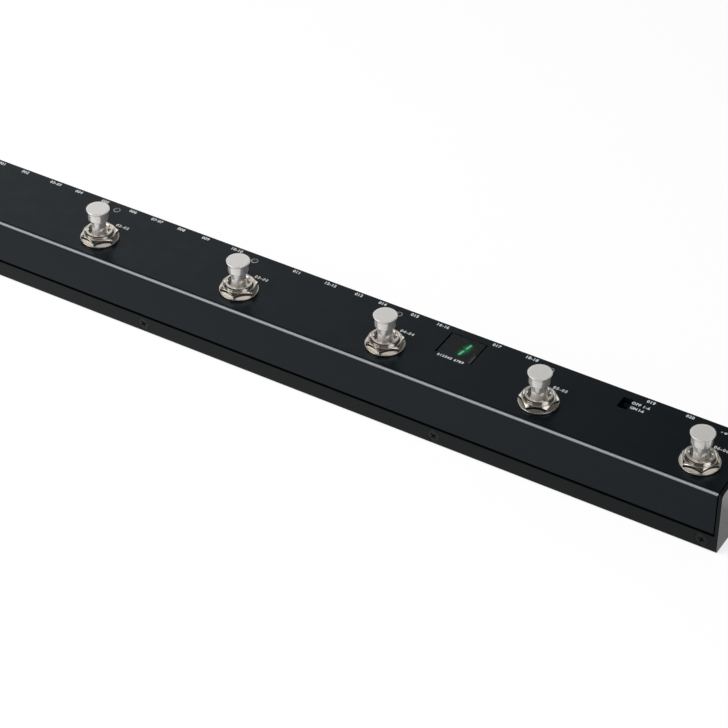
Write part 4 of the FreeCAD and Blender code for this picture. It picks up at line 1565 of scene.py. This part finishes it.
@dataclass
class RearSockets(Assembly):
    """The jacks' threaded ferrules, nuts and washers, and the power inlet.

    mouth_chamfer says how far the bore opens at the mouth, how deep, and how far its cutter goes past
    the end. end_chamfer says how much narrower the thread's end is, and how far down that starts.
    """

    ferrule_radius: float = 4.7
    bore_radius: float = 3.3
    mouth_chamfer: tuple[float, float, float] = (0.6, 0.4, 0.2)
    end_chamfer: Ring = (0.4, 1.4)
    thread_pitch: float = 0.75
    thread_depth: float = 0.28
    nut_across_flats: float = 12.7
    nut_thickness: float = 2.2
    nut_slope: float = math.radians(30)
    nut_turn_step: float = 23.0
    washer_radius: float = 7.0
    washer_thickness: float = 0.6
    washer_clearance: float = 0.1
    solid_gap: float = 1.0

    def ferrule(self, length: float) -> bpy.types.Object:
        """Models a threaded ferrule with its bore, from -length to 0 where its mouth is.

        Args:
            length: Its whole length.

        Returns:
            The new object.
        """
        piece = threaded("ferrule", self.ferrule_radius, self.thread_pitch, self.thread_depth, (-length, 0.0),
                         sides=SMALL_SIDES)
        outset, depth, reach = self.mouth_chamfer
        bore = turned("bore", [
            (self.bore_radius, -length - SPARE), (self.bore_radius, -depth), (self.bore_radius + outset, reach),
        ], sides=SMALL_SIDES)
        piece = combine(piece, bore, Cut.TAKE_AWAY)
        inset, drop = self.end_chamfer
        wide, end = self.ferrule_radius + SPARE, self.ferrule_radius - inset
        trim = turned("trim", [
            (wide, -length - SPARE), (wide, -drop), (end, SLIVER), (end, SPARE),
        ], sides=SMALL_SIDES)
        return smooth(combine(piece, trim, Cut.KEEP_SHARED))

    def nut(self) -> bpy.types.Object:
        """Models the jack nut, from height 0 up.

        Returns:
            The new object.
        """
        bore = ((self.ferrule_radius, -SPARE / 2), (self.ferrule_radius, self.nut_thickness + SPARE / 2))
        return HexNut(self.nut_across_flats, 0.0, self.nut_thickness, self.nut_slope, foot=(0.3, 0.3), inset=0.1,
                      bore=bore, bore_sides=SMALL_SIDES).model()

    def washer(self) -> bpy.types.Object:
        """Models the washer, from height 0 up.

        Returns:
            The new object.
        """
        inner = self.ferrule_radius + self.washer_clearance
        piece = turned("jack_washer", [
            (self.washer_radius, 0.0), (self.washer_radius, self.washer_thickness), (inner, self.washer_thickness),
            (inner, 0.0),
        ], through=True)
        return soften(piece, width=0.12)

    def build(self) -> None:
        """Copies ferrule, nut and washer to each jack, and dresses the power inlet."""
        low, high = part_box("jack_ferrules")
        middles = [(start + end) / 2 for start, end in solids_of("jack_ferrules", self.solid_gap)]
        kinds = (
            ("ferrule", self.ferrule((high.y - low.y) / MM), high.y, 0.0),
            ("nut", self.nut(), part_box("jack_nuts")[0].y, self.nut_turn_step),
            ("washer", self.washer(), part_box("jack_washers")[0].y, 0.0),
        )
        for title, master, foot, turn_step in kinds:
            spots = [
                Spot(Vector((middle.x, foot, middle.z)), Facing.REAR, math.radians(turn_step * number))
                for number, middle in enumerate(middles, start=1)
            ]
            self.repeat(master, f"jack_{title}_{{}}", spots, NICKEL, f"jack_{title}s")
        paint(frame["nodes"]["power_inlet"], BLACK_PLASTIC)
        paint(frame["nodes"]["power_inlet_pin"], NICKEL)


@dataclass(frozen=True)
class Mark:
    """One printed line: its piece's name, its words, its middle on the panel, its type size and its spacing."""

    name: str
    words: str
    x: float
    y: float
    size: float
    spacing: float = 1.0


@dataclass
class PrintedMarks(Assembly):
    """Plain numbers and words printed in white on the top panel.

    Jack numbers in long_marks are printed twice, as a pair. boldness is how far the letters' strokes
    grow on each side.
    """

    ink_height: float = 0.012
    boldness: float = 0.08
    curve_steps: int = 3
    letter: float = 2.15
    jack_row_y: float = 16.25
    jack_row_x: tuple[float, ...] = (
        -163.35, -151.22, -135.31, -123.38, -109.95, -95.92, -83.88, -71.83, -59.79, -44.55,
        -15.65, 0.26, 13.62, 24.64, 39.51, 52.29, 76.55, 92.14, 143.72, 160.23,
    )
    jack_spacing: float = 1.12
    long_marks: tuple[int, ...] = (3, 7, 10, 12, 16, 18)
    switch_offset: float = 3.7
    switch_row_y: float = 5.2
    switch_spacing: float = 1.25
    display_offset: float = -0.5
    words: tuple[Mark, ...] = (
        Mark("print_slide_off", "OFF 1-6", 141.2, 12.5, 1.95, 1.18),
        Mark("print_slide_on", "ON 1-6", 140.9, 9.7, 1.85, 0.95),
        Mark("print_polarity", "- o +", 176.2, 14.6, 2.2),
    )

    def marks(self) -> list[Mark]:
        """Lists every mark.

        Returns:
            The jack numbers, the footswitch numbers, and the words by display, slide switch and power inlet.
        """
        found = []
        for number, x in enumerate(self.jack_row_x, start=1):
            words = f"{number:02d}-{number:02d}" if number in self.long_marks else f"{number:03d}"
            found.append(Mark(f"print_jack_{number}", words, x, self.jack_row_y, self.letter, self.jack_spacing))
        for number in range(1, LOOPS + 1):
            x = middle_of(f"footswitch_button_{number}").x / MM + self.switch_offset
            found.append(Mark(f"print_switch_{number}", f"{number:02d}-{number:02d}", x, self.switch_row_y,
                              self.letter, self.switch_spacing))
        display = middle_of("display_window") / MM
        found.append(Mark("print_display", "012345 6789", display.x + self.display_offset, 0.0, 1.75, 1.27))
        return found + list(self.words)

    def print_mark(self, mark: Mark) -> None:
        """Prints one line of text, centred on its point of the panel.

        Args:
            mark: What is printed, and where.
        """
        deselect()
        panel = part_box("footswitch_washers")[0].z
        half_ink = self.ink_height / 2 * MM
        bpy.ops.object.text_add(location=(mark.x * MM, mark.y * MM, panel + half_ink))
        text = bpy.context.view_layer.objects.active.data
        text.body = mark.words
        text.size = mark.size * MM
        text.space_character = mark.spacing
        text.align_x = text.align_y = "CENTER"
        text.extrude = half_ink
        text.offset = self.boldness * MM
        text.resolution_u = self.curve_steps
        bpy.ops.object.convert(target="MESH")
        self.add(settle(mark.name), INK)

    def build(self) -> None:
        """Prints every mark."""
        for mark in self.marks():
            self.print_mark(mark)


@dataclass
class InnerParts(Assembly):
    """Everything behind the case that keeps its CAD shape: the nodes that each finish goes on."""

    dressing: tuple[tuple[Finish, tuple[str, ...]], ...] = (
        (ZINC, ("clinch_nuts", "jack_board_spacers", "board_screws")),
        (BRASS, ("jack_contacts", "main_board_pillars")),
        (BOARD, ("main_board", "jack_board")),
        (RELAY_PLASTIC, ("relays",)),
        (BLACK_PLASTIC, ("footswitch_caps", "push_contacts", "board_connector", "control_chip", "input_jack",
                         "output_jack", *(f"send_jack_{loop}" for loop in range(1, LOOPS + 1)),
                         *(f"return_jack_{loop}" for loop in range(1, LOOPS + 1)))),
    )

    def build(self) -> None:
        """Dresses each node."""
        for finish, nodes in self.dressing:
            for node in nodes:
                paint(frame["nodes"][node], finish)


# ---- studio ----


@dataclass(frozen=True)
class Softbox:
    """A soft rectangular lamp: its middle, what it points at, its sides in metres and its power in watts."""

    name: str
    place: Point
    aim: Point
    sides: tuple[float, float]
    power: float

    def build(self) -> None:
        """Sets the lamp up."""
        deselect()
        bpy.ops.object.light_add(type="AREA", location=self.place)
        lamp = bpy.context.view_layer.objects.active
        lamp.name = self.name
        lamp.data.shape = "RECTANGLE"
        lamp.data.size, lamp.data.size_y = self.sides
        lamp.data.energy = self.power
        aim = Vector(self.aim) - Vector(self.place)
        lamp.rotation_euler = aim.to_track_quat("-Z", "Y").to_euler()
        lamp.visible_glossy = False


@dataclass(frozen=True)
class SkyField:
    """A round bright field in the sky, as a large reflector gives.

    towards is its direction. The light starts where a direction's share of it is edge, and is full
    where the share is full.
    """

    towards: Point
    edge: float
    full: float
    level: float


@dataclass
class Studio:
    """The floor, the soft light and the camera, in metres.

    front_glow gives how much of the floor's light metal mirrors at the front left and the front right,
    and the two spans say where the floor passes from left to right and from front to back.
    """

    azimuth: float = math.radians(30.769)
    elevation: float = math.radians(39.152)
    roll: float = math.radians(0.181)
    target: Point = (0.024784, 0.001636, 0.007892)
    distance: float = 1.1106
    focal_pixels: float = 2777.57
    picture_pixels: float = 728.0
    sensor: float = 36.0
    clip: Range = (0.05, 50.0)
    floor_size: float = 12.0
    floor_drop: float = 0.0002
    floor_colour: Colour = (0.2, 0.2, 0.2)
    floor_glow: float = 0.8
    front_glow: Range = (0.72, 0.5)
    side_span: Range = (-0.12, 0.2)
    back_span: Range = (-0.01, 0.02)
    horizon: Range = (0.1, 0.28)
    sky_low: float = 0.04
    sky_fields: tuple[SkyField, ...] = (
        SkyField((-0.58, 0.58, 0.57), 0.93, 0.998, 1.05),
        SkyField((-0.7, -0.68, 0.22), 0.84, 0.93, 2.0),
        SkyField((0.75, -0.16, 0.64), 0.9, 0.96, 1.0),
    )
    lamp: Softbox = Softbox("overhead_softbox", (-0.4, -0.5, 1.3), (0.0, 0.0, 0.0), (0.9, 0.9), 20.0)

    def build_floor(self) -> None:
        """Lays the pale floor, which stays white to the camera and keeps a light shadow."""
        deselect()
        bpy.ops.mesh.primitive_plane_add(size=self.floor_size, location=(0, 0, -self.floor_drop))
        floor = settle("floor")
        coat = bpy.data.materials.new("pale_floor")
        coat.use_nodes = True
        sheet = Sheet(coat.node_tree)
        coat.node_tree.nodes.remove(coat.node_tree.nodes["Principled BSDF"])
        matt = sheet.feed(sheet.add("ShaderNodeBsdfDiffuse"), Color=self.floor_colour)
        path = sheet.add("ShaderNodeLightPath").outputs
        parts = sheet.parts(sheet.place())
        front = sheet.spread(parts["X"], *self.front_glow, *self.side_span)
        paler = sheet.sum_up("MAXIMUM", front, sheet.spread(parts["Y"], 0.0, 1.0, *self.back_span))
        mirrored = sheet.sum_up("MULTIPLY", path["Is Glossy Ray"], paler)
        seen = sheet.sum_up("MAXIMUM", path["Is Camera Ray"], mirrored)
        seen = sheet.sum_up("MAXIMUM", seen, path["Is Transmission Ray"])
        strength = sheet.sum_up("MULTIPLY", seen, self.floor_glow)
        glow = sheet.feed(sheet.add("ShaderNodeEmission"), Color=(1.0, 1.0, 1.0), Strength=strength)
        both = sheet.add("ShaderNodeAddShader")
        sheet.join(matt.outputs[0], both.inputs[0])
        sheet.join(glow.outputs[0], both.inputs[1])
        sheet.join(both.outputs[0], coat.node_tree.nodes["Material Output"].inputs["Surface"])
        floor.data.materials.append(coat)

    def build_world(self) -> None:
        """Puts a white horizon under a dim sky with bright fields in it."""
        world = bpy.data.worlds.new("studio_air")
        bpy.context.scene.world = world
        world.use_nodes = True
        sheet = Sheet(world.node_tree)
        ray = sheet.place("Generated")
        bright = sheet.spread(sheet.parts(ray)["Z"], 1.0, 0.0, *self.horizon)
        sky = sheet.sum_up("MAXIMUM", bright, self.sky_low)
        for spot in self.sky_fields:
            near = sheet.vectors("DOT_PRODUCT", ray, spot.towards)["Value"]
            sky = sheet.sum_up("MAXIMUM", sky, sheet.spread(near, 0.0, spot.level, spot.edge, spot.full))
        sheet.feed(world.node_tree.nodes["Background"], Color=sky, Strength=1.0)

    def build_camera(self) -> None:
        """Sets the camera at the photograph's viewing angle."""
        flat = math.cos(self.elevation)
        back = Vector((math.sin(self.azimuth) * flat, -math.cos(self.azimuth) * flat, math.sin(self.elevation)))
        right = (-back).cross(Vector((0, 0, 1))).normalized()
        up = right.cross(-back)
        leaning_right = right * math.cos(self.roll) + up * math.sin(self.roll)
        leaning_up = up * math.cos(self.roll) - right * math.sin(self.roll)
        deselect()
        bpy.ops.object.camera_add(location=Vector(self.target) + back * self.distance)
        camera = bpy.context.view_layer.objects.active
        camera.rotation_euler = Matrix((leaning_right, leaning_up, back)).transposed().to_euler()
        camera.data.sensor_width = self.sensor
        camera.data.lens = self.focal_pixels / self.picture_pixels * self.sensor
        camera.data.clip_start, camera.data.clip_end = self.clip
        bpy.context.scene.camera = camera

    def build(self) -> None:
        """Sets up everything round the object."""
        self.build_floor()
        self.build_world()
        self.lamp.build()
        self.build_camera()
        bpy.context.scene.view_settings.view_transform = "Standard"


def main() -> None:
    """Builds the sub-assemblies in order and reports each."""
    logging.basicConfig(level=logging.INFO, format="%(message)s")
    for assembly in (CaseShell(), Footswitches(), IndicatorLights(), DisplayUnit(), SlideSwitch(),
                     RearSockets(), PrintedMarks(), InnerParts()):
        assembly.build()
        log.info("%s: %d new pieces", type(assembly).__name__, len(assembly.made))
        for piece in assembly.made:
            log.info("  %s, %d faces", piece.name, len(piece.data.polygons))
    Studio().build()


if __name__ == "__main__":
    main()
